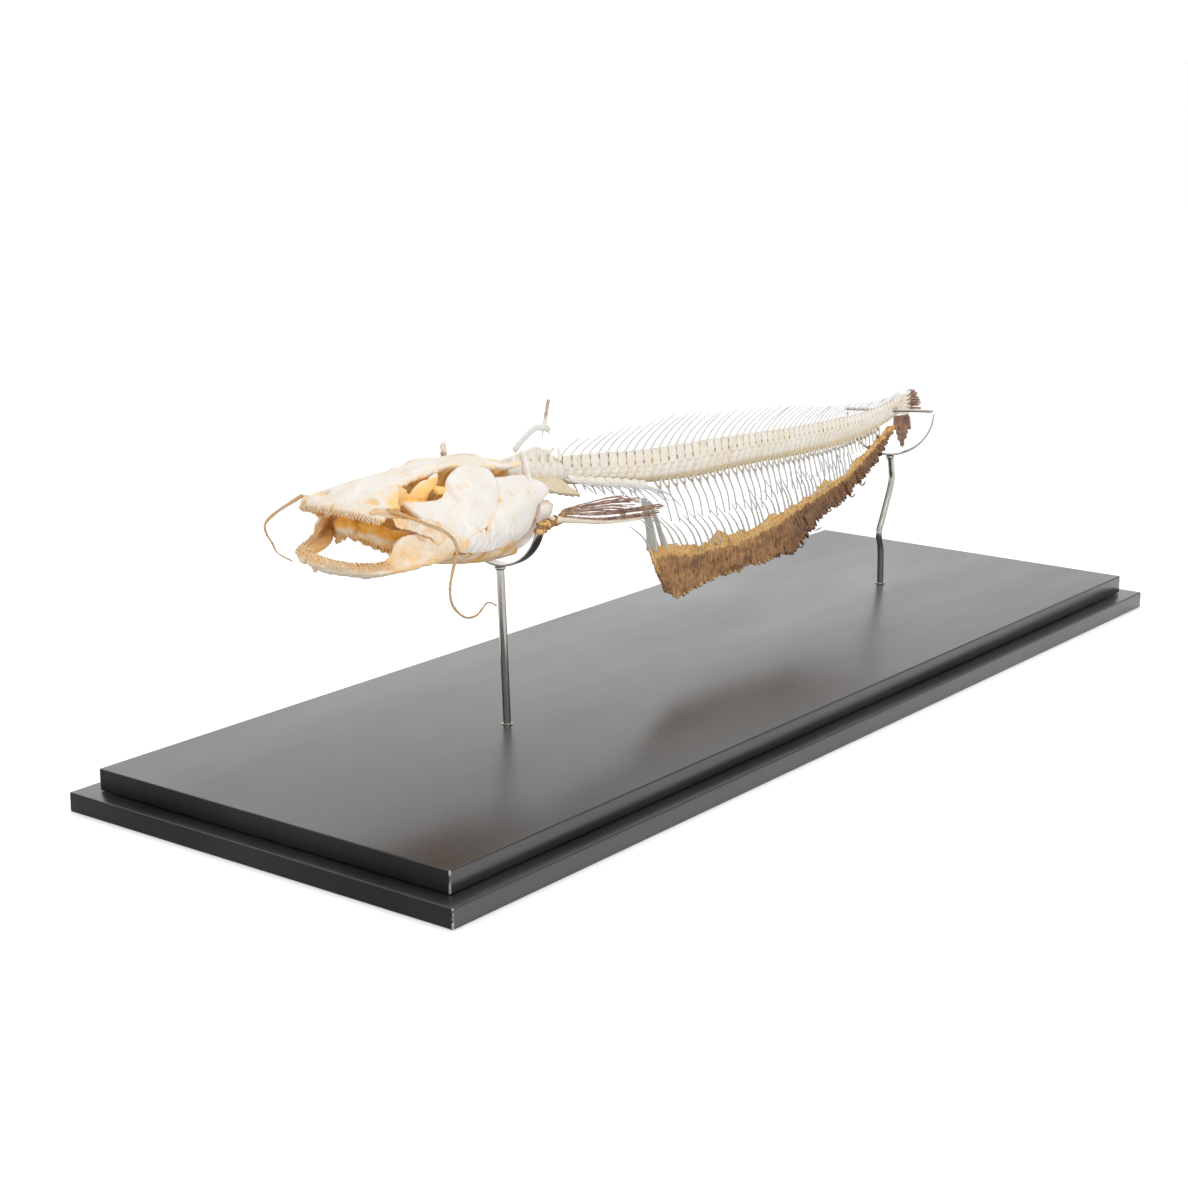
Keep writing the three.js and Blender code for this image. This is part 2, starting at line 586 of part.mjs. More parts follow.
// One side of the shoulder girdle, with the socket of the pectoral fin behind it.
function shoulder(side) {
  const way = [[-150.4, 20.6, 142.2], [-152.6, 25, 136], [-153, 27, 126], [-153.6, 26.4, 116],
    [-155, 21, 109.4], [-157, 11, 106], [-157.6, 0.2, 105.4]];
  const limb = side === left ? [[-140.8, 8, 149], [-145, 14, 146]] : [[-147.4, 15.6, 143.6]];
  const path = curve([...limb, ...way], side);
  const size = (share) => lerp(0.8, 1.15, share);
  const post = bar(path, { width: 3.4, height: 5.4, sides: 5, steps: 8, up: [1, 0, 0], size });
  const plateTop = curve([[-153, 25.6, 133.4], [-147, 25.8, 132.6], [-142.4, 26.6, 129.6]], side);
  const plateLow = curve([[-153, 27.4, 123.6], [-149.4, 27.6, 123.4], [-146, 27.4, 124]], side);
  const plate = sheet(plateLow, plateTop, { thick: 2, along: 3, across: 1, rim: 1 });
  return joined([post, plate]);
}

// ---------------------------------------------------------------- materials

function finish(color, roughness, metalness = 0) {
  return () => new THREE.MeshStandardMaterial({ color, roughness, metalness });
}

const blackBoard = finish(0x2b2b2c, 0.42);
const steel = finish(0xb9babb, 0.22, 1);
const skullBone = finish(0xeee3cd, 0.6);
const cheekBone = finish(0xf1e8d8, 0.6);
const stainedBone = finish(0xe7cc98, 0.6);
const columnBone = finish(0xe9dcc0, 0.5);
const paleSpine = finish(0xe6e4de, 0.5);
const toothBone = finish(0xe9c79c, 0.65);
const driedFin = finish(0x6b4a30, 0.8);
const palmFin = finish(0xa5806c, 0.7);
const feelerSkin = finish(0xc98d3e, 0.55);

// ---------------------------------------------------------------- assembly

const fish = new THREE.Group();
const solids = {};

function show(name, solid, material) {
  const mesh = solid.getMesh();
  const geometry = new THREE.BufferGeometry();
  const places = Float32Array.from(mesh.vertProperties);
  geometry.setAttribute('position', new THREE.BufferAttribute(places, 3));
  geometry.setIndex(new THREE.BufferAttribute(Uint32Array.from(mesh.triVerts), 1));
  geometry.computeVertexNormals();
  const piece = new THREE.Mesh(geometry, material());
  piece.name = name;
  solids[name] = solid;
  fish.add(piece);
}

// Shows the left and right copy of a bone, each cut clear of what is already in place.
function showPair(name, make, material, neighbours = []) {
  for (const [side, word] of [[left, 'left'], [right, 'right']]) {
    const near = neighbours.map((other) => solids[other] ?? solids[`${other}_${word}`]);
    const half = make(side).trimByPlane([0, side, 0], gap / 2);
    show(`${name}_${word}`, fitted(half, near), material);
  }
}

const lowerLength = board.length + 2 * board.ledge;
const lowerWidth = board.width + 2 * board.ledge;
const frontCradleFoot = frontCradle.centre - frontCradle.radius - frontCradle.thick;
const rearCradleFoot = rearCradle.centre - rearCradle.radius - rearCradle.thick;
const rearRodBends = [[198, 1.2, 40], [195, 0.8, 50], [199, 0.6, 60], [206, 0.2, 77.4], [205.4, 0, 86],
  [rearCradle.x + 1, 0, rearCradleFoot]];

show('base_lower_board', slab(lowerLength, lowerWidth, board.lowerThick, 0), blackBoard);
show('front_cradle', cradle(frontCradle), steel);
show('rear_cradle', fitted(cradle(rearCradle), [rearPin(pin.across)]), steel);
const frontRod = rodAlong(frontRodFoot, [[frontCradle.x, 0, frontCradleFoot]], 3);
show('front_rod', fitted(frontRod, [solids.front_cradle]), steel);
show('rear_rod', fitted(rodAlong(rearRodFoot, rearRodBends, 11), [solids.rear_cradle]), steel);
const upperBoard = slab(board.length, board.width, board.thick, board.lowerThick + gap);
show('base_upper_board', fitted(upperBoard, [solids.front_rod, solids.rear_rod]), blackBoard);
show('rear_pin', rearPin(pin.across), steel);

show('neurocranium', neurocranium(), skullBone);
show('trunk_vertebrae', columnPart(columnCuts[0], columnCuts[1]), columnBone);
const behindSkull = [solids.neurocranium, solids.trunk_vertebrae];
show('weberian_complex', fitted(weberianComplex(), behindSkull), columnBone);
show('dorsal_fin', fitted(dorsalFin(), [solids.weberian_complex, solids.trunk_vertebrae]), paleSpine);
show('tail_vertebrae_front', columnPart(columnCuts[1], columnCuts[2]), columnBone);
show('tail_vertebrae_middle', columnPart(columnCuts[2], columnCuts[3]), columnBone);
show('tail_vertebrae_rear', tailRear(), columnBone);
const column = ['trunk_vertebrae', 'tail_vertebrae_front', 'tail_vertebrae_middle', 'tail_vertebrae_rear'];
showPair('ribs', ribs, paleSpine, ['weberian_complex', 'trunk_vertebrae', 'tail_vertebrae_front']);

const tailBones = column.slice(1).map((name) => solids[name]);
show('anal_fin_front', fitted(analFinFront(), tailBones), driedFin);
const finMiddle = joined(analFin(finCuts[0] + gap / 2, finCuts[1] - gap / 2));
show('anal_fin_middle', fitted(finMiddle, tailBones), driedFin);
const finRear = joined(analFin(finCuts[1] + gap / 2, finTop.at(-1)[0]));
show('anal_fin_rear', fitted(finRear, tailBones), driedFin);
const upperLobe = [[222.6, 128.6], [229, 127.4], [234.4, 125.6], [235.6, 121], [236.2, 117.6],
  [230, 116.6], [222.4, 117.4]];
const lowerLobe = [[207.6, 117.6], [220, 115.2], [225, 113.6], [224, 108], [221.6, 104.6], [219.4, 103.6],
  [216.8, 97], [213.6, 104.6], [206, 112.6]];
show('caudal_fin_upper', fitted(caudalLobe(upperLobe), tailBones), palmFin);
show('caudal_fin_lower', fitted(caudalLobe(lowerLobe), [...tailBones, solids.caudal_fin_upper]), palmFin);

showPair('premaxilla', premaxilla, toothBone, ['neurocranium']);
showPair('barbel', barbel, feelerSkin, ['neurocranium', 'premaxilla']);
showPair('cheek', cheek, cheekBone, ['neurocranium', 'barbel']);
showPair('mandible', mandible, toothBone, ['cheek', 'barbel']);
showPair('hyoid', hyoid, stainedBone, ['cheek', 'mandible']);
showPair('opercle', opercle, cheekBone, ['cheek', 'neurocranium', 'hyoid']);
showPair('shoulder', shoulder, skullBone, ['opercle', 'neurocranium', 'weberian_complex', 'front_cradle']);
const roundThroat = ['opercle', 'hyoid', 'cheek', 'shoulder', 'mandible'];
showPair('branchiostegal', branchiostegal, stainedBone, roundThroat);
showPair('pectoral_fin', pectoralFin, palmFin, ['shoulder', 'opercle', 'branchiostegal']);

export default fish;
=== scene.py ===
# Sheatfish skeleton on its museum mount. Sizes in the dictionaries are millimetres.
import bisect
import math
import random

import bmesh
import bpy
from mathutils import Matrix, Vector, noise
from mathutils.bvhtree import BVHTree


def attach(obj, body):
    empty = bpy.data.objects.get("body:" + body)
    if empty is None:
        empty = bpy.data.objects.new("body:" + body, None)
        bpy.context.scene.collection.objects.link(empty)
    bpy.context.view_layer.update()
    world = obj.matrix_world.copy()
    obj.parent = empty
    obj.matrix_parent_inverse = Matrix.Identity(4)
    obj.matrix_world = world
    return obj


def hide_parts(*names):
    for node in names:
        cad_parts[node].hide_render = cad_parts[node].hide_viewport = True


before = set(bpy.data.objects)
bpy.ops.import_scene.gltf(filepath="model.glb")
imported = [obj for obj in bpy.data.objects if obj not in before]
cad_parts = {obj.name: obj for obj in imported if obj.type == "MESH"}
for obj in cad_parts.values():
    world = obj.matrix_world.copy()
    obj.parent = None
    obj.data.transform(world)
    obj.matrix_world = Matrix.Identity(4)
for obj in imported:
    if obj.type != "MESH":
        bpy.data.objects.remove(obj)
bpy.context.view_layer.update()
print("frame loaded with", len(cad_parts), "nodes")

mm = 0.001
left = -1
right = 1
sides = ((left, "left"), (right, "right"))
rand = random.Random(11)
noise.seed_set(11)


def mix(a, b, share):
    return a + (b - a) * share


def clamp(value, low=0.0, high=1.0):
    return max(low, min(high, value))


# 1 at 0, falling softly to nothing at about 2
def bell(away):
    return math.exp(-away ** 2)


def readAt(table, x, column=1):
    for first, second in zip(table, table[1:]):
        if x <= second[0]:
            break
    share = clamp((x - first[0]) / (second[0] - first[0]))
    return mix(first[column], second[column], share)


# noise between -1 and 1 with features of about that size
def bumps(place, size, octaves=3):
    return noise.fractal(place / (size * mm), 1.0, 2.1, octaves)


# a smooth line through points of [x, out from the middle, z], read by share of its length
def smoothWay(points, side=right, perSpan=24):
    spots = [Vector((x, side * out, z)) * mm for x, out, z in points]
    spots = [2 * spots[0] - spots[1]] + spots + [2 * spots[-1] - spots[-2]]
    line = []
    for a, b, c, d in zip(spots, spots[1:], spots[2:], spots[3:]):
        for step in range(perSpan):
            t = step / perSpan
            line.append(0.5 * (2 * b + (c - a) * t + (2 * a - 5 * b + 4 * c - d) * t * t
                               + (3 * b - a - 3 * c + d) * t ** 3))
    line.append(spots[-2])
    lengths = [0.0]
    for a, b in zip(line, line[1:]):
        lengths.append(lengths[-1] + (b - a).length)

    def way(share):
        goal = clamp(share) * lengths[-1]
        k = min(bisect.bisect_right(lengths, goal), len(line) - 1)
        span = lengths[k] - lengths[k - 1]
        return line[k - 1].lerp(line[k], clamp((goal - lengths[k - 1]) / span))
    return way


def gridShape(columns, rows, warp):
    shape = bmesh.new()
    bmesh.ops.create_grid(shape, x_segments=columns, y_segments=rows, size=1)
    for vert in shape.verts:
        vert.co = warp((vert.co.x + 1) / 2, (vert.co.y + 1) / 2)
    return shape


# merges the seam, fills open ends and turns the faces outwards
def closeUp(shape):
    bmesh.ops.remove_doubles(shape, verts=shape.verts, dist=1e-6)
    rims = [edge for edge in shape.edges if edge.is_boundary]
    if rims:
        bmesh.ops.holes_fill(shape, edges=rims, sides=0)
    bmesh.ops.recalc_face_normals(shape, faces=shape.faces)
    return shape


def roundEnds(start=1.0, end=1.0, cap=0.05):
    return lambda share: mix(start, end, share) * math.sqrt(clamp(min(share, 1 - share) / cap))


def ellipse(turn):
    return math.cos(turn), math.sin(turn)


# a strip section with rounded corners
def stripSection(turn):
    across, high = math.cos(turn), math.sin(turn)
    return (math.copysign(abs(across) ** 0.35, across), math.copysign(abs(high) ** 0.35, high))


def tube(way, width, height=None, around=10, rows=16, up=(0, 0, 1), size=roundEnds(), section=ellipse):
    height = height or width
    upward = Vector(up)
    frames = {}

    def warp(u, v):
        if v not in frames:
            along = (way(min(v + 0.01, 1)) - way(max(v - 0.01, 0))).normalized()
            aside = along.cross(upward).normalized()
            frames[v] = (way(v), aside, aside.cross(along), size(v) / 2 * mm)
        point, aside, lift, grow = frames[v]
        across, high = section(u * math.tau)
        return point + aside * (across * width * grow) + lift * (high * height * grow)
    return closeUp(gridShape(around, rows, warp))


# a sheet of bone between two edges, bulged outwards
def plate(lower, upper, thick, bulge=0, out=(0, 0, 1), columns=36, rows=18):
    outward = Vector(out).normalized() * bulge * mm

    def warp(u, v):
        swell = math.sin(math.pi * v) * (0.35 + 0.65 * math.sin(math.pi * u))
        return lower(u).lerp(upper(u), v) + outward * swell
    shape = gridShape(columns, rows, warp)
    return thicken(shape, thick)


# gives a sheet its two faces; thickAt is a number or reads a point of the sheet
def thicken(shape, thickAt):
    shape.normal_update()
    depths = {}
    for vert in shape.verts:
        thick = thickAt(vert) if callable(thickAt) else thickAt
        depths[vert] = vert.normal * thick * mm / 2
    sheet = [*shape.verts, *shape.edges, *shape.faces]
    rims = [edge for edge in shape.edges if edge.is_boundary]
    copied = bmesh.ops.duplicate(shape, geom=sheet)
    twins = copied["vert_map"]
    edgeTwins = copied["edge_map"]
    for vert, depth in depths.items():
        twins[vert].co -= depth
        vert.co += depth
    backs = [face for face in copied["geom"] if isinstance(face, bmesh.types.BMFace)]
    bmesh.ops.reverse_faces(shape, faces=backs)
    bmesh.ops.bridge_loops(shape, edges=rims + [edgeTwins[edge] for edge in rims])
    bmesh.ops.recalc_face_normals(shape, faces=shape.faces)
    return shape


def ball(place, radii, side=right, segments=20, turn=0):
    shape = bmesh.new()
    x, out, z = place
    at = Matrix.Translation(Vector((x, side * out, z)) * mm) @ Matrix.Rotation(math.radians(turn), 4, "Y")
    size = Matrix.Diagonal((radii[0] * mm, radii[1] * mm, radii[2] * mm, 1))
    bmesh.ops.create_uvsphere(shape, u_segments=segments, v_segments=segments // 2, radius=1,
                              matrix=at @ size)
    return shape


def joinShapes(shapes):
    whole = bmesh.new()
    for shape in shapes:
        mesh = bpy.data.meshes.new("part")
        shape.to_mesh(mesh)
        whole.from_mesh(mesh)
        bpy.data.meshes.remove(mesh)
        shape.free()
    return whole


axes = ("use_axis_x", "use_axis_y", "use_axis_z")


# grows the shapes together into one skin, with soft fillets where they meet
def fuse(shapes, voxel, rounds):
    mesh = bpy.data.meshes.new("fusing")
    whole = joinShapes(shapes)
    whole.to_mesh(mesh)
    whole.free()
    holder = bpy.data.objects.new("fusing", mesh)
    bpy.context.scene.collection.objects.link(holder)
    skin = holder.modifiers.new("skin", "REMESH")
    skin.mode = "VOXEL"
    skin.voxel_size = voxel * mm
    grown = holder.evaluated_get(bpy.context.evaluated_depsgraph_get())
    fresh = bpy.data.meshes.new_from_object(grown)
    shape = bmesh.new()
    shape.from_mesh(fresh)
    bpy.data.objects.remove(holder)
    bpy.data.meshes.remove(fresh)
    for _ in range(rounds):
        bmesh.ops.smooth_vert(shape, verts=shape.verts, factor=0.5, **dict.fromkeys(axes, True))
    return shape


def newMark(shape, name):
    return shape.verts.layers.float.new(name)


# moves every point along its normal by depthAt(place in mm, normal)
def relief(shape, depthAt):
    shape.normal_update()
    moves = [(vert, vert.normal * depthAt(vert.co / mm, vert.normal) * mm) for vert in shape.verts]
    for vert, move in moves:
        vert.co += move
    shape.normal_update()
    return shape


# bends a shape a little out of true, as grown things are
def wobble(shape, amount, size):
    for vert in shape.verts:
        vert.co += noise.noise_vector(vert.co / (size * mm)) * amount * mm


def addPiece(name, shape, nodes, slotName, finish):
    mesh = bpy.data.meshes.new(name)
    shape.to_mesh(mesh)
    shape.free()
    mesh.polygons.foreach_set("use_smooth", [True] * len(mesh.polygons))
    mesh.materials.append(finish)
    piece = bpy.data.objects.new(name, mesh)
    bpy.context.scene.collection.objects.link(piece)
    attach(piece, "root")
    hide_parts(*nodes)
    return piece


# finishes

def newFinish(name, roughness, metallic=0.0):
    finish = bpy.data.materials.new(name)
    finish.use_nodes = True
    shader = finish.node_tree.nodes["Principled BSDF"]
    shader.inputs["Roughness"].default_value = roughness
    shader.inputs["Metallic"].default_value = metallic
    return finish, finish.node_tree, shader


def addNode(tree, kind, sockets=None, **settings):
    made = tree.nodes.new(kind)
    for key, value in settings.items():
        setattr(made, key, value)
    for key, value in (sockets or {}).items():
        if isinstance(value, bpy.types.NodeSocket):
            tree.links.new(value, made.inputs[key])
        else:
            made.inputs[key].default_value = value
    return made


def place(tree, stretch=(1, 1, 1), turn=(0, 0, 0)):
    where = addNode(tree, "ShaderNodeTexCoord").outputs["Object"]
    sockets = {"Vector": where, "Scale": stretch, "Rotation": tuple(math.radians(a) for a in turn)}
    return addNode(tree, "ShaderNodeMapping", sockets).outputs["Vector"]


# size is that of the features in mm
def grain(tree, size, where=None, detail=4.0, rough=0.55):
    sockets = {"Scale": 1 / (size * mm), "Detail": detail, "Roughness": rough, "Vector": where or place(tree)}
    return addNode(tree, "ShaderNodeTexNoise", sockets).outputs["Fac"]


def fade(tree, value, low, high, bottom=0.0, top=1.0):
    sockets = {"Value": value, "From Min": low, "From Max": high, "To Min": bottom, "To Max": top}
    return addNode(tree, "ShaderNodeMapRange", sockets).outputs["Result"]


def calc(tree, operation, first, second):
    made = addNode(tree, "ShaderNodeMath", {0: first, 1: second}, operation=operation, use_clamp=True)
    return made.outputs[0]


def blend(tree, share, first, second, kind="MIX"):
    made = addNode(tree, "ShaderNodeMix", data_type="RGBA", blend_type=kind)
    for socket, value in ((0, share), (6, first), (7, second)):
        if isinstance(value, bpy.types.NodeSocket):
            tree.links.new(value, made.inputs[socket])
        elif socket:
            made.inputs[socket].default_value = (*value, 1)
        else:
            made.inputs[socket].default_value = value
    return made.outputs[2]


def mark(tree, name):
    return addNode(tree, "ShaderNodeAttribute", attribute_name=name).outputs["Fac"]


def bumpFrom(tree, shader, heights):
    under = None
    for height, depth in heights:
        sockets = {"Height": height, "Distance": depth * mm, "Strength": 1.0}
        if under:
            sockets["Normal"] = under
        under = addNode(tree, "ShaderNodeBump", sockets).outputs["Normal"]
    tree.links.new(under, shader.inputs["Normal"])


boneLook = {
    "pale": (0.85, 0.81, 0.76), "warm": (0.82, 0.73, 0.60), "stain": (0.86, 0.56, 0.24),
    "deep": (0.86, 0.38, 0.04), "painted": (1.0, 0.56, 0.14), "thin": (0.66, 0.655, 0.64),
    "fat": (0.74, 0.58, 0.34), "patch": 16, "streak": 1.3, "stretch": (0.12, 1, 1), "streaking": 0.5,
    "stainFrom": 0.3, "stainTo": 0.72, "tinge": 0.5, "roughness": 0.55, "relief": 0.3}


# dry bone: two tones in soft patches, fat stain and painted shade in the hollows, fine pores
def boneFinish(name, **changes):
    look = {**boneLook, **changes}
    finish, tree, shader = newFinish(name, look["roughness"])
    patches = fade(tree, grain(tree, look["patch"], detail=5), 0.38, 0.66)
    colour = blend(tree, patches, look["pale"], look["warm"])
    streaks = grain(tree, look["streak"], place(tree, look["stretch"]), detail=6)
    streaked = fade(tree, streaks, 0.52, 0.78, 0, look["streaking"])
    colour = blend(tree, streaked, colour, look["warm"], "MULTIPLY")
    tinge = fade(tree, grain(tree, 7, detail=2), 0.6, 0.74, 0, look["tinge"])
    colour = blend(tree, tinge, colour, look["stain"], "MULTIPLY")
    mottled = blend(tree, fade(tree, grain(tree, 3), 0.38, 0.66), look["painted"], look["stain"])
    colour = blend(tree, mark(tree, "paint"), colour, mottled)
    # where the hollow mark is high the bone turns to the stain colour and then to the deep colour: fat stain
    # together with painted shade
    hollow = calc(tree, "ADD", mark(tree, "hollow"), fade(tree, grain(tree, 5.0), 0.3, 0.75, -0.1, 0.12))
    colour = blend(tree, fade(tree, hollow, look["stainFrom"], look["stainTo"]), colour, look["stain"])
    colour = blend(tree, fade(tree, hollow, look["stainTo"], look["stainTo"] + 0.25), colour, look["deep"])
    fatty = calc(tree, "MULTIPLY", mark(tree, "fat"), fade(tree, grain(tree, 1.8), 0.3, 0.6, 0.4, 1.0))
    colour = blend(tree, fatty, colour, look["fat"])
    # greys the slender spines, and darkens the lower face of the lower jaw as painted shade
    colour = blend(tree, mark(tree, "thin"), colour, look["thin"])
    tree.links.new(colour, shader.inputs["Base Color"])
    shader.inputs["Specular IOR Level"].default_value = 0.4
    dull = fade(tree, grain(tree, 1.6), 0.3, 0.7, look["roughness"] - 0.1, look["roughness"] + 0.12)
    tree.links.new(dull, shader.inputs["Roughness"])
    pores = fade(tree, grain(tree, 0.45, detail=3), 0.35, 0.7)
    bumpFrom(tree, shader, ((streaks, look["relief"]), (pores, 0.05)))
    return finish


white = {"pale": (0.87, 0.84, 0.81), "warm": (0.84, 0.78, 0.69)}
skullFinish = boneFinish("ivory skull bone", stain=(0.97, 0.60, 0.20), painted=(1.0, 0.64, 0.20),
                         deep=(0.95, 0.46, 0.07), tinge=0.3, stainTo=0.85)
collarFinish = boneFinish("white shoulder bone", **white, painted=(0.56, 0.27, 0.10),
                          stain=(0.66, 0.36, 0.14), relief=0.15, tinge=0.1, stainFrom=0.6, stainTo=1.0)
cheekFinish = boneFinish("white cheek bone", **white, stretch=(1, 0.3, 0.3), relief=0.2, streaking=0.35,
                         tinge=0.3, stainFrom=0.36)
# its darker grey-brown goes on the lower face of the lower jaw: painted shade
jawFinish = boneFinish("peach tooth bone", pale=(0.86, 0.78, 0.66), warm=(0.82, 0.66, 0.48),
                       painted=(0.86, 0.49, 0.17), deep=(0.90, 0.48, 0.13), thin=(0.44, 0.35, 0.27),
                       patch=9, stretch=(1, 1, 1), relief=0.25)
throatFinish = boneFinish("stained throat bone", pale=(0.80, 0.68, 0.52), warm=(0.72, 0.50, 0.28),
                          painted=(0.78, 0.35, 0.03), stain=(0.82, 0.45, 0.11), patch=8,
                          stretch=(0.25, 1, 1), stainFrom=0.25, stainTo=0.7)
crestFinish = boneFinish("pale fin bone", pale=(0.78, 0.77, 0.74), warm=(0.74, 0.71, 0.64),
                         painted=(0.40, 0.22, 0.12), stain=(0.62, 0.40, 0.22), stainFrom=0.8, stainTo=1.1)
napeFinish = boneFinish("fused vertebra bone", pale=(0.88, 0.85, 0.78), warm=(0.83, 0.77, 0.66),
                        painted=(0.66, 0.54, 0.35), stain=(0.74, 0.60, 0.40), patch=9,
                        stretch=(0.3, 1, 1), stainFrom=0.5, stainTo=0.95)
columnFinish = boneFinish("glossy vertebra bone", pale=(0.88, 0.84, 0.76), warm=(0.84, 0.76, 0.62),
                          stain=(0.66, 0.48, 0.22), deep=(0.36, 0.20, 0.07), painted=(0.20, 0.10, 0.035),
                          patch=12, streak=0.9, stretch=(0.3, 1, 1), roughness=0.42, relief=0.12,
                          stainFrom=0.55, stainTo=1.0, tinge=0.3)
spineFinish = boneFinish("pale spine bone", pale=(0.66, 0.66, 0.65), warm=(0.60, 0.58, 0.53),
                         stain=(0.66, 0.58, 0.44), deep=(0.50, 0.36, 0.18), painted=(0.62, 0.48, 0.26),
                         patch=20, streak=0.6, relief=0.05, stainFrom=0.7, stainTo=1.1, tinge=0.2)


# dried skin over rays, by its marks: "crust" is golden skin, "rib" a ray, "aged" the darkest skin
def driedFinish(name, look):
    finish, tree, shader = newFinish(name, 0.7)
    mottle = grain(tree, look["mottle"], place(tree, (0.8, 1, 1.2), (0, 28, 0)), detail=7, rough=0.65)
    streaks = grain(tree, 1.1, place(tree, (1, 1, 0.14), (0, look["lean"], 0)), detail=6, rough=0.65)
    colour = blend(tree, fade(tree, mottle, 0.42, 0.62), look["brown"], look["dark"])
    colour = blend(tree, fade(tree, streaks, 0.5, 0.66, 0, look["streaking"]), colour, look["orange"])
    colour = blend(tree, fade(tree, mark(tree, "rib"), 0.35, 0.9), colour, look["rib"])
    colour = blend(tree, fade(tree, mark(tree, "aged"), 0, 1, 0, 0.62), colour, look["dark"])
    ragged = fade(tree, grain(tree, 2.2, detail=6), 0.3, 0.7, -0.25, 0.25)
    fray = calc(tree, "ADD", mark(tree, "crust"), ragged)
    gold = blend(tree, fade(tree, grain(tree, 1.4, detail=5), 0.4, 0.65), look["gold"], look["paleGold"])
    colour = blend(tree, fade(tree, fray, 0.42, 0.62), colour, gold)
    tree.links.new(colour, shader.inputs["Base Color"])
    shader.inputs["Specular IOR Level"].default_value = 0.35
    tree.links.new(fade(tree, grain(tree, 0.9), 0.3, 0.7, 0.5, 0.85), shader.inputs["Roughness"])
    bumpFrom(tree, shader, ((streaks, 0.7), (grain(tree, 0.7, detail=4), 0.3)))
    return finish


finLook = {
    "brown": (0.50, 0.26, 0.11), "dark": (0.20, 0.10, 0.055), "orange": (0.82, 0.50, 0.20),
    "rib": (0.34, 0.26, 0.22), "gold": (0.70, 0.36, 0.09), "paleGold": (0.88, 0.62, 0.30),
    "mottle": 8, "lean": 38, "streaking": 0.7}
finFinish = driedFinish("dried fin skin", finLook)
palmLook = {
    "brown": (0.50, 0.31, 0.22), "dark": (0.27, 0.16, 0.13), "orange": (0.66, 0.40, 0.22),
    "rib": (0.52, 0.36, 0.28), "gold": (0.80, 0.66, 0.50), "paleGold": (0.86, 0.78, 0.68),
    "mottle": 5, "lean": 80, "streaking": 0.5}
palmFinish = driedFinish("mauve dried rays", palmLook)


def feelerFinish():
    finish, tree, shader = newFinish("amber feeler skin", 0.5)
    bands = grain(tree, 7, detail=5)
    colour = blend(tree, fade(tree, bands, 0.35, 0.65), (0.62, 0.33, 0.10), (0.50, 0.38, 0.26))
    colour = blend(tree, fade(tree, grain(tree, 1.0), 0.5, 0.75), colour, (0.34, 0.17, 0.06))
    tree.links.new(colour, shader.inputs["Base Color"])
    bumpFrom(tree, shader, ((grain(tree, 0.8), 0.25),))
    return finish


skinFinish = feelerFinish()


def steelFinish():
    finish, tree, shader = newFinish("polished steel", 0.16, 1.0)
    clouds = grain(tree, 5, place(tree, (1, 1, 0.2)), detail=3)
    colour = blend(tree, fade(tree, clouds, 0.35, 0.7), (0.47, 0.45, 0.42), (0.38, 0.355, 0.32))
    tree.links.new(colour, shader.inputs["Base Color"])
    tree.links.new(fade(tree, grain(tree, 1.5, place(tree, (1, 1, 0.1))), 0.3, 0.7, 0.12, 0.26),
                   shader.inputs["Roughness"])
    bumpFrom(tree, shader, ((grain(tree, 0.8, place(tree, (1, 1, 0.1))), 0.01),))
    return finish


rodFinish = steelFinish()


def lacquerFinish(name, low, high, shine):
    finish, tree, shader = newFinish(name, low)
    shader.inputs["IOR"].default_value = shine
    haze = grain(tree, 60, place(tree, (0.5, 1, 1)), detail=4)
    colour = blend(tree, fade(tree, haze, 0.35, 0.7), (0.012, 0.011, 0.012), (0.021, 0.019, 0.021))
    worn = calc(tree, "MULTIPLY", mark(tree, "corner"), fade(tree, grain(tree, 1.6, detail=5), 0.45, 0.55))
    colour = blend(tree, worn, colour, (0.36, 0.33, 0.29))
    tree.links.new(colour, shader.inputs["Base Color"])
    wipes = grain(tree, 40, place(tree, (0.35, 1, 1), (0, 0, 24)), detail=4, rough=0.5)
    tree.links.new(fade(tree, wipes, 0.3, 0.72, low, high), shader.inputs["Roughness"])
    return finish


boardFinish = lacquerFinish("satin black lacquer", 0.25, 0.33, 1.8)
# a duller copy of the lacquer for the end faces, which makes them darker than the sides: painted shade
shadedEndFinish = lacquerFinish("duller black of the shaded ends", 0.45, 0.6, 1.25)
print("finishes made")


# mount

board = {"length": 600, "width": 203.4, "thick": 10, "ledge": 9.45, "lowerThick": 9,
         "gap": 0.3, "rounding": 0.7}
boardTop = board["lowerThick"] + board["gap"] + board["thick"]


def slab(name, length, width, bottom, thick):
    shape = bmesh.new()
    bmesh.ops.create_cube(shape, size=1)
    bmesh.ops.scale(shape, vec=Vector((length, width, thick)) * mm, verts=shape.verts)
    bmesh.ops.translate(shape, vec=(0, 0, (bottom + thick / 2) * mm), verts=shape.verts)
    corner = shape.faces.layers.float.new("corner")
    bmesh.ops.bevel(shape, geom=list(shape.edges), offset=board["rounding"] * mm, segments=4, profile=0.5,
                    material=-1, affect="EDGES", offset_type="OFFSET")
    for face in shape.faces:
        spot = face.calc_center_median() / mm
        near = length / 2 - abs(spot.x) < 0.6 and width / 2 - abs(spot.y) < 0.6
        face[corner] = 1.0 if near else 0.0
        # the end faces take the duller lacquer: painted shade
        face.material_index = 1 if abs(face.normal.x) > 0.9 else 0
    piece = addPiece(name, shape, [name], "board", boardFinish)
    piece.data.materials.append(shadedEndFinish)


slab("base_lower_board", board["length"] + 2 * board["ledge"], board["width"] + 2 * board["ledge"], 0,
     board["lowerThick"])
slab("base_upper_board", board["length"], board["width"], board["lowerThick"] + board["gap"], board["thick"])

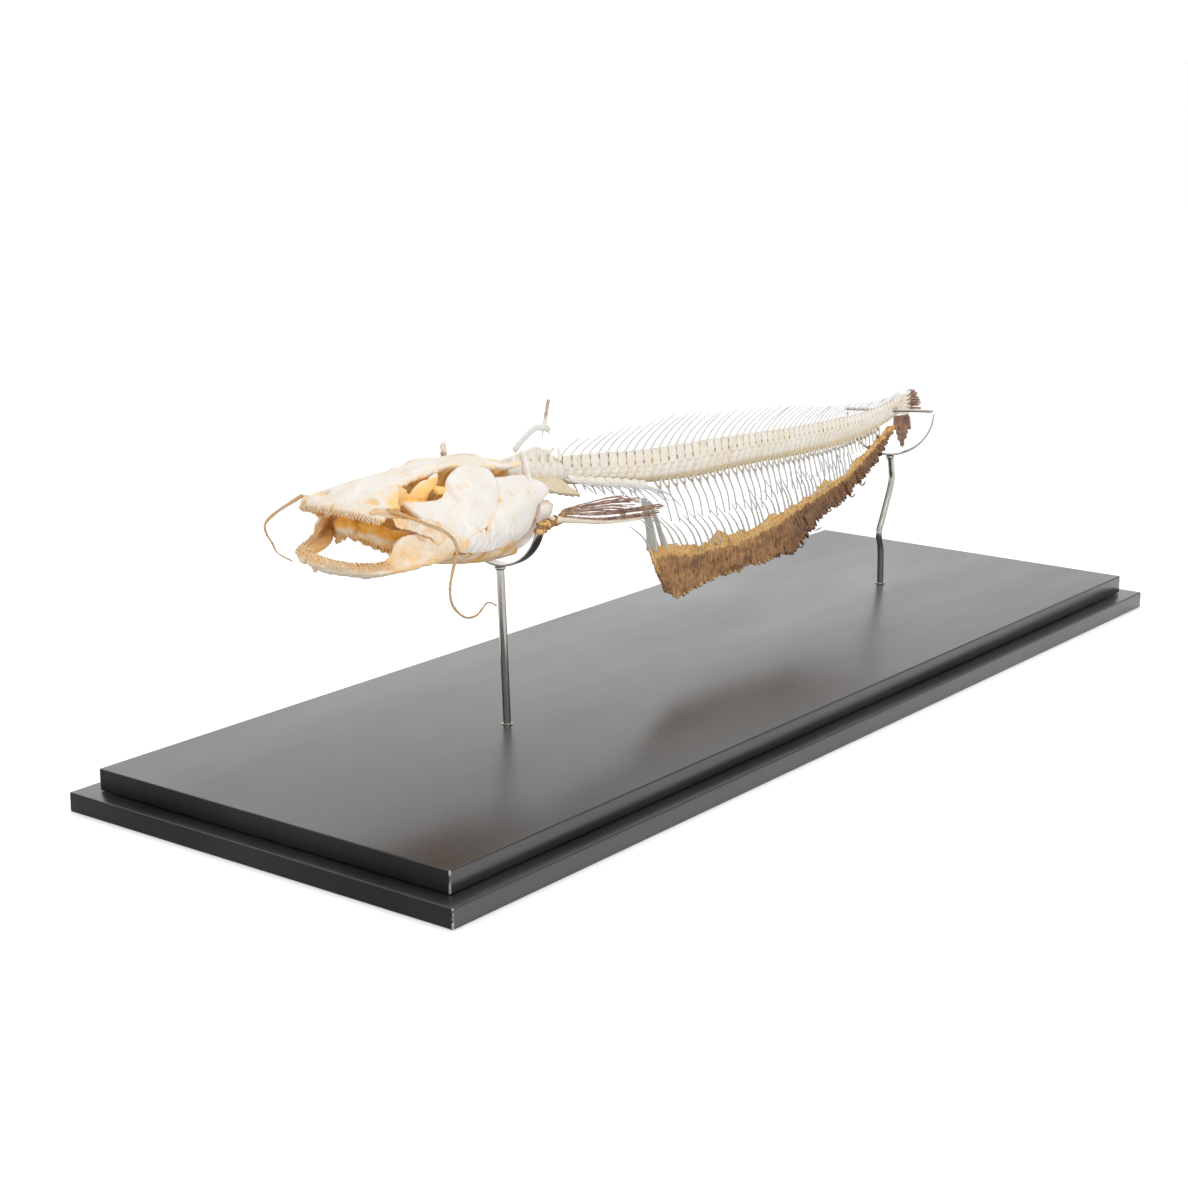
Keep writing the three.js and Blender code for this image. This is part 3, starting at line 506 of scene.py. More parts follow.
rod = {"across": 3.7, "sunk": 7.7, "frontFoot": (-141, 0.8), "rearFoot": (199.3, 1.5),
       "frontBends": [(-143.4, 0.4, 58)],
       "rearBends": [(198, 1.2, 40), (195, 0.8, 50), (199, 0.6, 60), (206, 0.2, 77.4), (205.4, 0, 86)]}
frontCradle = {"x": -146, "radius": 23.5, "centre": 121, "band": 6, "thick": 1.1, "turn": 0}
rearCradle = {"x": 202.4, "radius": 24, "centre": 119.5, "band": 4, "thick": 1.0, "turn": 27}
pin = {"x": 201, "z": 120.7, "across": 1.8, "half": 25.2}


def footOf(cradle):
    return cradle["centre"] - cradle["radius"] - cradle["thick"]


def ring(x, y, z, radius, thick, fat=0.5):
    shape = gridShape(28, 10, lambda u, v: Vector((
        x + (radius + fat * math.cos(v * math.tau)) * math.cos(u * math.tau),
        y + (radius + fat * math.cos(v * math.tau)) * math.sin(u * math.tau),
        z + thick / 2 * (1 + math.sin(v * math.tau)))) * mm)
    return closeUp(shape)


def band(cradle):
    turn = Matrix.Rotation(math.radians(cradle["turn"]), 3, "Z")
    reach = cradle["radius"] + cradle["thick"] / 2

    def way(share):
        angle = math.pi * (1 + share)
        flat = turn @ Vector((0, reach * math.cos(angle), 0))
        return Vector((cradle["x"] + flat.x, flat.y, cradle["centre"] + reach * math.sin(angle))) * mm
    return tube(way, cradle["thick"], cradle["band"], 24, 60, up=turn @ Vector((1, 0, 0)),
                size=roundEnds(cap=0.012), section=stripSection)


# a rod from the board to the top, with a thin ring at its foot
def rodShapes(foot, bends, top, rows):
    seat = (foot[0], foot[1], boardTop - rod["sunk"])
    way = smoothWay([seat, (foot[0], foot[1], boardTop), *bends, top])
    stem = tube(way, rod["across"], around=24, rows=rows, up=(0, 1, 0), size=lambda share: 1)
    washer = ring(foot[0], foot[1], boardTop, rod["across"] / 2 + 0.45, 0.5, 0.45)
    return [stem, washer]


frontTop = (frontCradle["x"], 0, footOf(frontCradle))
frontShapes = rodShapes(rod["frontFoot"], rod["frontBends"], frontTop, 60)
frontShapes.append(ring(frontTop[0], 0, frontTop[2] - 1.9, 1.9, 1.9, 0.7))
addPiece("front_rod", joinShapes(frontShapes), ["front_rod"], "steel", rodFinish)
rearTop = (rearCradle["x"] + 1, 0, footOf(rearCradle))
rearShapes = rodShapes(rod["rearFoot"], rod["rearBends"], rearTop, 110)
rearShapes.append(ring(rearTop[0], 0, rearTop[2] - 2.4, 1.5, 2.4, 0.9))
addPiece("rear_rod", joinShapes(rearShapes), ["rear_rod"], "steel", rodFinish)
addPiece("front_cradle", band(frontCradle), ["front_cradle"], "steel", rodFinish)
addPiece("rear_cradle", band(rearCradle), ["rear_cradle"], "steel", rodFinish)

lean = math.radians(rearCradle["turn"])


def pinWay(*reaches):
    return smoothWay([(pin["x"] + math.sin(lean) * t, -math.cos(lean) * t, pin["z"]) for t in reaches])


pinShapes = [tube(pinWay(-pin["half"], 0, pin["half"]), pin["across"], around=18, rows=40,
                  size=roundEnds(cap=0.02)),
             tube(pinWay(2.9, 3.6, 4.4), 3.0, around=18, rows=8, size=roundEnds(cap=0.2))]
addPiece("rear_pin", joinShapes(pinShapes), ["rear_pin"], "steel", rodFinish)
print("mount made")


# vertebral column

column = {
    "line": [(-128, 136.2), (-106.5, 133.6), (-86.4, 130.8), (-67.3, 128.3), (-34.2, 124.1), (0.4, 121.7),
             (18.7, 120.9), (58.3, 119.4), (100.3, 117.2), (144.4, 116.2), (167.4, 116.5), (190.9, 118.8),
             (212.5, 122.7)],
    "reach": [(-104, 7.2, 6), (-40, 9, 7), (10, 9.4, 8.2), (60, 8.3, 7.6), (145, 7.6, 7.6), (211, 4.8, 5)],
    "neural": [(-104, 15, 6.5), (-86, 18.3, 8.1), (-37, 28, 14.2), (22, 22, 12.7), (66, 26.7, 11.1),
               (111, 22, 8.4), (162, 14, 6), (211, 6, 4)],
    "haemal": [(-26, 111.6, 92), (1, 111, 90), (24, 109.8, 88), (47, 108.1, 87), (70, 106.8, 88.5),
               (107, 105.9, 93), (148, 106, 98), (180, 109.3, 104), (205, 113.5, 110.5)],
    "cuts": [-104, -33, 42, 122, 211], "firstPitch": 7.1, "lastPitch": 3.4, "width": 9.2, "tailWidth": 5.4,
    "spine": 0.95, "rearSpine": 0.62, "haemalFrom": -28, "haemalTo": 190}

middleWay = smoothWay([(x, 0, z) for x, z in column["line"]])
middleLine = [(point.x / mm, point.z / mm) for point in (middleWay(k / 300) for k in range(301))]


def middleAt(x):
    return readAt(middleLine, x)


def pitchAt(x):
    return mix(column["firstPitch"], column["lastPitch"], clamp((x + 20) / 210))


def halfWidthAt(x):
    return mix(column["width"], column["tailWidth"], clamp((x + 60) / 260)) / 2


def overAt(x):
    return middleAt(x) + readAt(column["reach"], x, 1)


def underAt(x):
    return middleAt(x) - readAt(column["reach"], x, 2)


def jointsBetween(start, end):
    joints = [start]
    while joints[-1] + 1.5 * pitchAt(joints[-1]) < end:
        joints.append(joints[-1] + pitchAt(joints[-1]))
    return joints + [end]


# one vertebra with a body of radius 1 and a length of 1, arches over and under it
def vertebraShape():
    def spool(u, v):
        s = v - 0.5
        waist = 0.74 + 0.26 * abs(2 * s) ** 2.2
        ridge = 1 + 0.06 * math.cos(7 * u * math.tau) * (1 - (2 * s) ** 2)
        lip = 1.03 if 0.03 < v < 0.97 and abs(s) > 0.4 else 1.0
        turn = u * math.tau
        rim = Vector((s * 0.97, math.cos(turn), math.sin(turn)))
        return rim.lerp(Vector((s * 0.97, 0, 0)), 1 - waist * ridge * lip)
    parts = [closeUp(gridShape(28, 12, spool))]

    def lamina(side, sign):
        def wing(u, v):
            turn = u * math.tau
            reach = 0.53 - (0.12 if sign > 0 else 0.06) * v ** 4
            x = 0.32 * v ** 2 + reach * math.cos(turn)
            y = side * (0.12 + 0.58 * (1 - v ** 2.2) + 0.1 * math.sin(turn))
            return Vector((x, y, sign * mix(0.35, 2.0, v)))
        return closeUp(gridShape(14, 10, wing))

    def spur(side, sign, start, end, thick):
        def horn(u, v):
            turn = u * math.tau
            size = thick * (1 - 0.75 * v)
            centre = Vector(start).lerp(Vector(end), v)
            return Vector((centre.x, side * centre.y + size * math.cos(turn),
                           sign * centre.z + size * math.sin(turn)))
        return closeUp(gridShape(8, 5, horn))
    for side in (left, right):
        for sign in (1, -1):
            parts.append(lamina(side, sign))
        parts.append(spur(side, 1, (-0.2, 0.5, 1.1), (-0.56, 0.36, 1.5), 0.13))
        parts.append(spur(side, -1, (-0.1, 0.55, 0.8), (-0.5, 0.6, 1.0), 0.13))
    whole = joinShapes(parts)
    paint = newMark(whole, "paint")
    fat = newMark(whole, "fat")
    # the nerve hole in front of each arch, plugged with dried marrow
    hole = bmesh.new()
    bmesh.ops.create_uvsphere(hole, u_segments=10, v_segments=6, radius=1)
    plugPaint = newMark(hole, "paint")
    for vert in hole.verts:
        vert[plugPaint] = 1
        flat = math.copysign(abs(vert.co.y) ** 0.25, vert.co.y)
        vert.co = Vector((0.5 + 0.15 * vert.co.x, 0.77 * flat, 0.94 + 0.28 * vert.co.z))
    # thin dark lines along the seams between the laminae: painted shade in the grooves
    for vert in whole.verts:
        slant = 0.32 * clamp((abs(vert.co.z) - 0.35) / 1.65) ** 2
        groove = clamp((abs(vert.co.x - slant) - 0.41) / 0.09)
        vert[paint] = 0.34 * groove * clamp((abs(vert.co.z) - 0.5) / 0.3)
        vert[fat] = clamp((-0.75 - vert.co.z) / 0.5)
    return joinShapes([whole, hole])


vertebraMesh = bpy.data.meshes.new("vertebra")
vertebraShape().to_mesh(vertebraMesh)


def vertebraAt(start, end):
    shape = bmesh.new()
    shape.from_mesh(vertebraMesh)
    x = (start + end) / 2
    tilt = math.atan2(middleAt(end) - middleAt(start), end - start)
    wide = halfWidthAt(x)
    over = (overAt(x) - middleAt(x)) / 2
    under = (middleAt(x) - underAt(x)) / 2
    body = min(wide, over, under) * 1.02
    plug = shape.verts.layers.float["paint"]
    grow = rand.uniform(0.45, 1.15)
    for vert in shape.verts:
        if vert[plug] > 0.9:
            vert.co.x = mix(0.5, vert.co.x, grow)
            vert.co.z = mix(0.94, vert.co.z, grow)
        tall = over if vert.co.z > 0 else under
        reach = body if abs(vert.co.z) < 1 and vert.co.y ** 2 + vert.co.z ** 2 < 1.2 else None
        height = vert.co.z * (reach or mix(body, tall, clamp(abs(vert.co.z) - 0.6)))
        vert.co = Vector((vert.co.x * (end - start), vert.co.y * wide, height)) * mm
    wobble(shape, 0.12, 4)
    seat = Matrix.Translation(Vector((x * mm, 0, middleAt(x) * mm))) @ Matrix.Rotation(-tilt, 4, "Y")
    bmesh.ops.transform(shape, matrix=seat, verts=shape.verts)
    return shape


def jitter(amount):
    return rand.uniform(-amount, amount)


def neuralSpine(x):
    root = overAt(x) - 1.6
    run = readAt(column["neural"], x, 1) * (1 + jitter(0.07))
    rise = (readAt(column["neural"], x, 2) + 1) * (1 + jitter(0.05))
    sway = jitter(0.5)
    points = [(x, 0, root), (x + 0.2 * run, sway * 0.2, root + 0.36 * rise),
              (x + 0.5 * run, sway * 0.5, root + 0.66 * rise), (x + run, sway, root + rise)]
    width = mix(column["spine"], column["rearSpine"], clamp((x + 20) / 200))

    def taper(share):
        return mix(1.0, 0.75, share) + 1.1 * clamp(1 - share / 0.22) ** 1.5 if share < 1 else 0.3
    return tube(smoothWay(points), width, around=6, rows=10, up=(0, 1, 0), size=taper)


def haemalSpine(x):
    meet = readAt(column["haemal"], x, 1) + jitter(0.5)
    end = readAt(column["haemal"], x, 2) + jitter(2.4)
    lean = mix(0.5, 0.2, clamp(x / 150))
    run = lean * (meet - end)
    wide = 0.5 * halfWidthAt(x)
    arm = [(x - 0.6, wide, underAt(x) + 1.6), (x + 0.9, wide * 0.66, mix(underAt(x), meet, 0.5)),
           (x + 2.6, 0.1, meet - 0.8)]
    arms = [tube(smoothWay(arm, side), 1.3, 0.9, 6, 6, (0, 1, 0), roundEnds(1.35, 0.9, 0.02))
            for side in (left, right)]
    bend = (x + 2.6 + 0.6 * run, jitter(0.3), mix(meet, end, 0.5))
    tip = (x + 2.6 + run, jitter(0.7), end)
    line = smoothWay([(x + 2.2, 0, meet + 1.0), (x + 3, 0, meet - 1.6), bend, tip])
    stem = tube(line, 1.0, around=6, rows=12, up=(0, 1, 0),
                size=lambda share: mix(1.0, 0.7, share) + 0.9 * clamp(1 - share / 0.2))
    return arms + [stem]


# marks the slender part of a spine, which has bleached to grey
def thinOut(shape, x, root, fadeOver=4):
    thin = newMark(shape, "thin")
    for vert in shape.verts:
        vert[thin] = clamp((abs(vert.co.z / mm - root) + 0.3 * (vert.co.x / mm - x)) / fadeOver)
    return shape


def columnPart(name, start, end, extra=()):
    joints = jointsBetween(start, end)
    shapes = list(extra)
    for first, second in zip(joints, joints[1:]):
        shapes.append(vertebraAt(first, second))
        x = mix(first, second, 0.28)
        shapes.append(thinOut(neuralSpine(x), x, overAt(x)))
        if column["haemalFrom"] < x < column["haemalTo"]:
            shapes += [thinOut(part, x, underAt(x), 8) for part in haemalSpine(x)]
    return addPiece(name, joinShapes(shapes), [name], "column_bone", columnFinish)


cuts = column["cuts"]
lengths = ("trunk_vertebrae", "tail_vertebrae_front", "tail_vertebrae_middle")
columnPieces = [columnPart(name, *ends) for name, ends in zip(lengths, zip(cuts, cuts[1:]))]


def fanPlate(bottoms, tops, thick):
    def warp(u, v):
        x = mix(bottoms[0][0], bottoms[-1][0], u)
        return Vector((x, 0, mix(readAt(bottoms, x), readAt(tops, x), v))) * mm
    return thicken(gridShape(26, 26, warp), thick)


tailFan = fanPlate([(206, 118.6), (214, 116.4), (223, 115.6)], [(206, 126.4), (214, 127.8), (223, 129)], 1.6)
relief(tailFan, lambda spot, normal: 0.35 * math.sin(math.atan2(spot.z - 122.4, spot.x - 198) * 60))
columnPieces.append(columnPart("tail_vertebrae_rear", cuts[3], cuts[4], [tailFan]))
print("column made")


# anal fin in one length, with the thin bones that carry its rays

fin = {
    "top": [(-31.5, 82.7), (-12.8, 81.3), (4.7, 75.8), (22.6, 75.8), (50, 75), (78.7, 78), (108, 82.9),
            (128, 86.2), (154, 90.5), (178.6, 101), (199, 110.6)],
    "bottom": [(-25.5, 68.3), (-20, 59), (-8, 52.9), (5, 54.4), (32, 55.4), (69.8, 56.2), (99.2, 57.2),
               (103.2, 56.6), (110, 61), (117, 66), (122, 64.5), (129, 70.2), (141, 72.5), (160, 78),
               (176, 87.5), (192, 99.6), (206, 110.8)],
    "lean": [(-31.5, 6), (20, 9), (100, 11), (150, 10), (199, 7)],
    "raySpacing": [(-31.5, 4.0), (80, 3.4), (200, 2.5)], "thick": 1.0, "bearersTo": 166,
    "spikes": [(-31.5, 1.4), (60, 1.8), (92, 3.4), (104, 7.5), (124, 6.5), (150, 5.2), (176, 3.2),
               (199, 1.0)],
    "hooks": (84, 186), "crust": [(-31.5, 5.5), (0, 3.6), (60, 4.2), (90, 4.0), (130, 3.2), (199, 2.4)],
    "blades": [([(-35.4, 0, 109.5), (-33.6, 0, 103), (-29.5, 0, 92), (-28, 0, 80)],
                1.0, 5.6, 14, 26, 0.62, 1.2),
               ([(-30, 0.8, 107), (-24.5, 0.8, 98), (-20, 0.5, 88), (-17, 0, 79)],
                0.8, 3.4, 12, 24, 0.8, 1.0)]}


def rayPhase(x):
    step = readAt(fin["raySpacing"], x)
    return (x - 40) / step


def finPoint(u, v):
    x = mix(fin["top"][0][0], fin["top"][-1][0], u)
    phase = rayPhase(x) % 1
    spot = Vector((x / 9, 0.3, 7.7))
    peak = max(0, noise.noise(Vector((x / 15, 0.3, 2.7)))) ** 1.5
    crest = (9 * peak + 3.0 * max(0, noise.noise(spot * 2.3)) ** 1.3 + 0.9 * noise.noise(spot * 9)
             + 0.5 * noise.noise(spot * 23))
    top = readAt(fin["top"], x) + crest
    foot = x + readAt(fin["lean"], x)
    bottom = readAt(fin["bottom"], foot)
    edge = readAt(fin["spikes"], x)
    long = 0.45 + 0.55 * abs(noise.noise(Vector((rayPhase(x) // 1 * 0.73, 3.1, 0)))) * 2
    tooth = edge * (1 - phase) ** 1.5 * long
    ragged = 1.5 * noise.noise(Vector((x / 0.9, 5, 0))) + 2.4 * noise.noise(Vector((x / 9, 9, 0)))
    drop = bottom + 0.5 * edge - tooth + ragged
    back = 0.9 * tooth * max(0, v - 0.6) / 0.4
    curl = 1.6 * math.sin(x / 17) * v + 0.9 * noise.noise(Vector((x / 6, v * 3, 2)))
    return Vector((mix(x, foot, v) + back, curl, mix(top, drop, v))) * mm


def finShape():
    shape = gridShape(560, 34, finPoint)
    crust, rib, aged, depth = (newMark(shape, name) for name in ("crust", "rib", "aged", "depth"))
    for vert in shape.verts:
        spot = vert.co / mm
        x = spot.x
        down = readAt(fin["top"], x) - spot.z
        share = clamp(down / 22)
        phase = rayPhase(x - readAt(fin["lean"], x) * share) % 1
        ridge = math.cos((phase - 0.5) * math.tau) * 0.5 + 0.5
        rear = clamp((x - 70) / 45)
        upper = clamp(1.15 - down / readAt(fin["crust"], x) * 0.62)
        fringe = clamp(1.3 - (spot.z - readAt(fin["bottom"], x)) / 2) * clamp((95 - x) / 15)
        front = clamp(1 - (x + 31) / 12) if x < -20 else 0
        vert[crust] = max(upper, 0.7 * fringe * clamp(0.8 + bumps(vert.co, 3)), front)
        vert[rib] = ridge ** 2 * rear * clamp((down - 4) / 4)
        vert[aged] = clamp((x - 62) / 40) * clamp((down - 2) / 4) * clamp(1 + 0.6 * bumps(vert.co, 7))
        vert[depth] = ridge * mix(0.5, 1.3, rear) * clamp((down - 2) / 4) + 0.7 * bumps(vert.co, 1.6)
    thicken(shape, lambda vert: max(0.5, fin["thick"] + vert[depth]))
    return relief(shape, lambda spot, normal: 0.25 * bumps(spot * mm, 1.2))


# dark hooks along the torn rear edge
def hookShapes():
    def taper(share):
        return mix(0.8, 0.12, share ** 1.6) * math.sqrt(clamp(share / 0.05)) if share < 1 else 0.02
    hooks = []
    x, last = fin["hooks"]
    while x < last:
        foot = x + readAt(fin["lean"], x)
        z = readAt(fin["bottom"], foot)
        long = rand.uniform(5, 12) * mix(1, 0.55, clamp((x - 110) / 80))
        curl = jitter(1.2)
        line = [(foot - 5, curl, z + 9), (foot - 1, curl, z + 3), (foot + 0.45 * long, 2 * curl, z - 0.5),
                (foot + long, 3 * curl, z + 0.12 * long + jitter(1.5))]
        hook = tube(smoothWay(line), 0.9, rand.uniform(2.4, 4.2), 10, 26, (0, 1, 0), taper)
        aged = newMark(hook, "aged")
        for vert in hook.verts:
            vert[aged] = 1
        hooks.append(relief(hook, lambda spot, normal: 0.3 * bumps(spot * mm, 1.5)))
        x += rand.uniform(5, 11)
    return hooks


addPiece("anal_fin", joinShapes([finShape()] + hookShapes()),
         ["anal_fin_front", "anal_fin_middle", "anal_fin_rear"], "dried_fin", finFinish)

bearers = []
x = fin["top"][0][0] + 3
while x < fin["bearersTo"]:
    foot = readAt(fin["top"], x) - 2.5
    rise = clamp(0.6 * (underAt(x) - foot), 6, 19) * (1 + jitter(0.22)) + 2.5
    slant = mix(0.95, 0.45, clamp(x / 160)) * (1 + jitter(0.15))
    top = (x - slant * rise, jitter(1.2), foot + rise)
    knee = (x - 0.36 * slant * rise, jitter(0.4), foot + 0.52 * rise)
    bearers.append(tube(smoothWay([(x, 0, foot), knee, top]), 0.85, around=6, rows=9, up=(0, 1, 0),
                        size=roundEnds(1.5, 0.6, 0.02)))
    x += pitchAt(x) * (0.72 if rand.random() < 0.6 else 1.05)
for line, thick, wide, around, rows, start, end in fin["blades"]:
    bearers.append(tube(smoothWay(line), thick, wide, around, rows, (0, 1, 0), roundEnds(start, end, 0.03),
                        stripSection))
addPiece("fin_bearers", joinShapes(bearers), ["anal_fin_front"], "spine_bone", spineFinish)


# tail fin

tail = {
    "rays": 8, "upperWide": 3.5, "upperThick": 1.0, "lowerWide": 2.6, "lowerThick": 0.9,
    "lowerTips": [(224, 0.4, 109), (223.4, -0.6, 106.2), (221.4, 0.5, 103.6), (219, -0.3, 101),
                  (217, 0, 96.8), (214.6, 0.4, 100.5), (211.6, -0.4, 104.5), (208.4, 0.3, 108)]}


def finRay(root, tip, wide, thick, bend):
    middle = tuple(mix(a, b, 0.5) + c for a, b, c in zip(root, tip, bend))

    def flare(share):
        return mix(0.5, 1.25, share) * math.sqrt(clamp((1 - share) / 0.08)) + 0.02
    return tube(smoothWay([root, middle, tip]), thick, wide, 8, 16, (0, 1, 0), flare, stripSection)


steps = [k / (tail["rays"] - 1) for k in range(tail["rays"])]
upperTips = [(mix(229, 236.4, share), jitter(1.2), mix(128.6, 117.2, share ** 1.1)) for share in steps]
upperTips = [(x + jitter(0.6), y, z + jitter(0.5)) for x, y, z in upperTips]
upperRoots = [(219.4, 0, mix(127.6, 118.4, share)) for share in steps]
upperRays = [finRay(root, tip, tail["upperWide"], tail["upperThick"], (0, 0, 0.4))
             for root, tip in zip(upperRoots, upperTips)]
addPiece("caudal_fin_upper", joinShapes(upperRays), ["caudal_fin_upper"], "tail_fin", palmFinish)
lowerRoots = [(mix(222, 207, share), 0, mix(115.2, 116.4, share)) for share in steps]
lowerRays = [finRay(root, tip, tail["lowerWide"], tail["lowerThick"], (0.6, 0, 0.4))
             for root, tip in zip(lowerRoots, tail["lowerTips"])]
addPiece("caudal_fin_lower", joinShapes(lowerRays), ["caudal_fin_lower"], "tail_fin", palmFinish)


# pectoral fins, a strong spine and a fan of dried rays

pectoral = {
    left: {
        "root": (-147.6, 29.5, 122.4), "bend": (-112, 33, 115.2), "tip": (-86, 36, 112.6),
        "arch": (-106, 34, 124.6), "spineEnd": 0.5,
        "tips": [(-76, 36, 112), (-71, 36, 113.2), (-67, 36, 115), (-68.5, 36, 116.4), (-96, 36, 115.6),
                 (-91, 36.4, 117.4), (-90, 36, 119), (-86, 36, 120.8), (-87.6, 36.6, 122.2), (-94, 36, 123)]},
    right: {
        "root": (-147.6, 29.5, 122.4), "bend": (-124, 52, 126), "tip": (-103, 71, 138.6),
        "arch": (-122, 53, 132), "spineEnd": 0.95,
        "tips": [(-105, 69, 134), (-106, 68, 136), (-108, 66, 134.6), (-110, 64, 136.4), (-112, 62, 135),
                 (-114, 60, 136.4)]}}


def pectoralFin(side, word):
    look = pectoral[side]
    spine = tube(smoothWay([look["root"], look["bend"], look["tip"]], side), 3.0, 2.5, 16, 50,
                 size=roundEnds(1.2, look["spineEnd"], 0.015))
    crust = newMark(spine, "crust")
    for vert in spine.verts:
        vert[crust] = 1
    parts = [relief(spine, lambda spot, normal: 0.12 * math.sin(spot.x * 2.4) + 0.2 * bumps(spot * mm, 3))]

    def grooves(spot, normal):
        return 0.1 * math.sin(spot.x * 5) + 0.16 * bumps(spot * mm, 2)
    # each ray splits in three towards its torn end
    for k, tip in enumerate(look["tips"]):
        share = k / (len(look["tips"]) - 1)
        start = [a + b for a, b in zip(look["root"], (6 + 3 * share, 0.4, 0.2 + 2.4 * share))]
        arch = [mix(a, b, share) + jitter(0.4) for a, b in zip(look["bend"], look["arch"])]
        for fork in (-1, 0, 1):
            end = (tip[0] + jitter(1.8), tip[1] + jitter(0.6), tip[2] + 0.6 * fork + jitter(0.2))
            middle = (arch[0], arch[1], arch[2] + 0.8 + 0.25 * fork)
            line = smoothWay([start, middle, end], side)
            parts.append(relief(tube(line, 0.5, 1.7, 8, 36, (0, 1, 0), roundEnds(0.7, 0.7, 0.06)), grooves))
    name = "pectoral_fin_" + word
    addPiece(name, joinShapes(parts), [name], "tail_fin", palmFinish)


for side, word in sides:
    pectoralFin(side, word)


# dried muscle left at the root of the fin
def tissueShape(side):
    lumps = []
    for k in range(9):
        share = k / 8
        x = mix(-151.5, -136.5, share) + jitter(0.8)
        spot = (x, 29.6 + jitter(1.0), mix(118.6, 121.8, share) + jitter(1.2))
        size = mix(3.0, 1.5, share)
        lumps.append(ball(spot, (size * 1.2, size * 0.8, size * (0.8 + jitter(0.2))), side))
    shape = fuse(lumps, 0.4, 1)
    crust = newMark(shape, "crust")
    aged = newMark(shape, "aged")
    for vert in shape.verts:
        vert[crust] = clamp(0.08 + 1.2 * bumps(vert.co, 3.5))
        vert[aged] = clamp(0.6 - 1.6 * bumps(vert.co, 3.5))
    return relief(shape, lambda spot, normal: 0.6 * bumps(spot * mm, 1.8))


addPiece("fin_root_tissue", tissueShape(left), ["pectoral_fin_left"], "dried_fin", finFinish)

# dorsal fin, one curved blade and the stump of its spine
dorsal = {
    "blade": [(-135.6, 0, 147.6), (-131, 0, 150.6), (-126, 0, 153.6), (-119.4, 0, 156), (-112.2, 0, 155.4)],
    "lock": [(-116.6, 0, 155.2), (-113.4, 0, 155.6), (-109.6, 0, 153.6)],
    "firstLeg": [(-113.6, 0, 155.4), (-114.5, 0, 152.4), (-114.8, 0, 149.8)],
    "secondLeg": [(-111, 0, 154.6), (-109.6, 0, 152.6), (-108.8, 0, 150.6)],
    "stump": [(-113.2, 0, 154.8), (-112, 0, 161), (-109.9, 0, 168.2)], "burntFrom": 158.6}
dorsalShapes = [tube(smoothWay(dorsal["blade"]), 1.4, 3.4, 14, 40, size=roundEnds(1.15, 0.85, 0.03)),
                tube(smoothWay(dorsal["lock"]), 2.6, 3.0, 12, 16),
                tube(smoothWay(dorsal["firstLeg"]), 1.0, around=8, rows=10, up=(0, 1, 0),
                     size=roundEnds(1.1, 0.6)),
                tube(smoothWay(dorsal["secondLeg"]), 0.8, around=8, rows=10, up=(0, 1, 0),
                     size=roundEnds(1.2, 0.5))]
stump = tube(smoothWay(dorsal["stump"]), 2.3, 1.5, 12, 40, (0, 1, 0), roundEnds(1.0, 0.8, 0.03))
burnt = newMark(stump, "paint")
for vert in stump.verts:
    vert[burnt] = clamp((vert.co.z / mm - dorsal["burntFrom"]) / 3) * clamp(0.75 + 0.5 * bumps(vert.co, 2))
dorsalWhole = joinShapes([fuse(dorsalShapes, 0.32, 1), stump])
addPiece("dorsal_fin", dorsalWhole, ["dorsal_fin"], "spine_bone", crestFinish)


# rows are [shift, size]: long ribs, and short ones between them
ribs = {
    "ledge": [(-101, 5.8, 129), (-81.3, 6, 125.2), (-60, 5.6, 121), (-38, 4.4, 115.6)],
    "root": [(-101, 3.6, 131), (-81.3, 3.8, 127), (-60, 3.8, 123), (-38, 3.0, 118.4)],
    "start": -100, "end": -36, "rows": ((0, 1.0), (3.4, 0.62))}


# ribs on the ledge beside the column
def ribSide(side, word):
    ledge, root = smoothWay(ribs["ledge"], side), smoothWay(ribs["root"], side)

    def knuckles(spot, normal):
        return 0.35 * math.sin(spot.x * math.tau / column["firstPitch"]) + 0.3 * bumps(spot * mm, 4)
    shapes = [relief(plate(ledge, root, 1.3, 0.6, (0, side, 1), 90, 12), knuckles)]
    for row, (shift, grow) in enumerate(ribs["rows"]):
        x = ribs["start"] + shift
        while x < ribs["end"]:
            near = ledge(clamp((x + 101) / 61, 0.0, 0.99)) / mm
            out = abs(near.y) - 0.6
            long = grow * (1 + jitter(0.16)) * mix(0.8, 1.12, clamp((x + 100) / 30))
            tip = (near.x + 14 * long, out + 7.4 * long, near.z - (9.4 - 2.4 * row) * long)
            bend = (near.x + 6.2 * long, out + (4.6 - row) * long, near.z - (2.6 - row) * long)
            rib = tube(smoothWay([(near.x - 2.5, out - 2.2, near.z + 1.0), bend, tip], side), 1.2, 0.9, 8, 14,
                       size=roundEnds(1.5, 0.55, 0.02))
            thin = newMark(rib, "thin")
            for vert in rib.verts:
                vert[thin] = clamp((vert.co.x / mm - near.x) / 6)
            shapes.append(rib)
            x += column["firstPitch"] * 0.97
    addPiece("ribs_" + word, joinShapes(shapes), ["ribs_" + word], "spine_bone", napeFinish)


for side, word in sides:
    ribSide(side, word)
print("fins and ribs made")


# skull

headPieces = []


def headPiece(name, shape, node, slotName, finish):
    headPieces.append(addPiece(name, shape, [node], slotName, finish))


# reads a table of rows without a kink at its rows
def readSmooth(table, x, column=1):
    k = int(clamp(bisect.bisect_right([row[0] for row in table], x) - 1, 0, len(table) - 2))

    def slope(n):
        before, after = table[max(n - 1, 0)], table[min(n + 1, len(table) - 1)]
        return (after[column] - before[column]) / (after[0] - before[0])
    first, second = table[k], table[k + 1]
    span = second[0] - first[0]
    t = clamp((x - first[0]) / span)
    return ((2 * t ** 3 - 3 * t ** 2 + 1) * first[column] + (t ** 3 - 2 * t ** 2 + t) * slope(k) * span
            + (3 * t ** 2 - 2 * t ** 3) * second[column] + (t ** 3 - t ** 2) * slope(k + 1) * span)


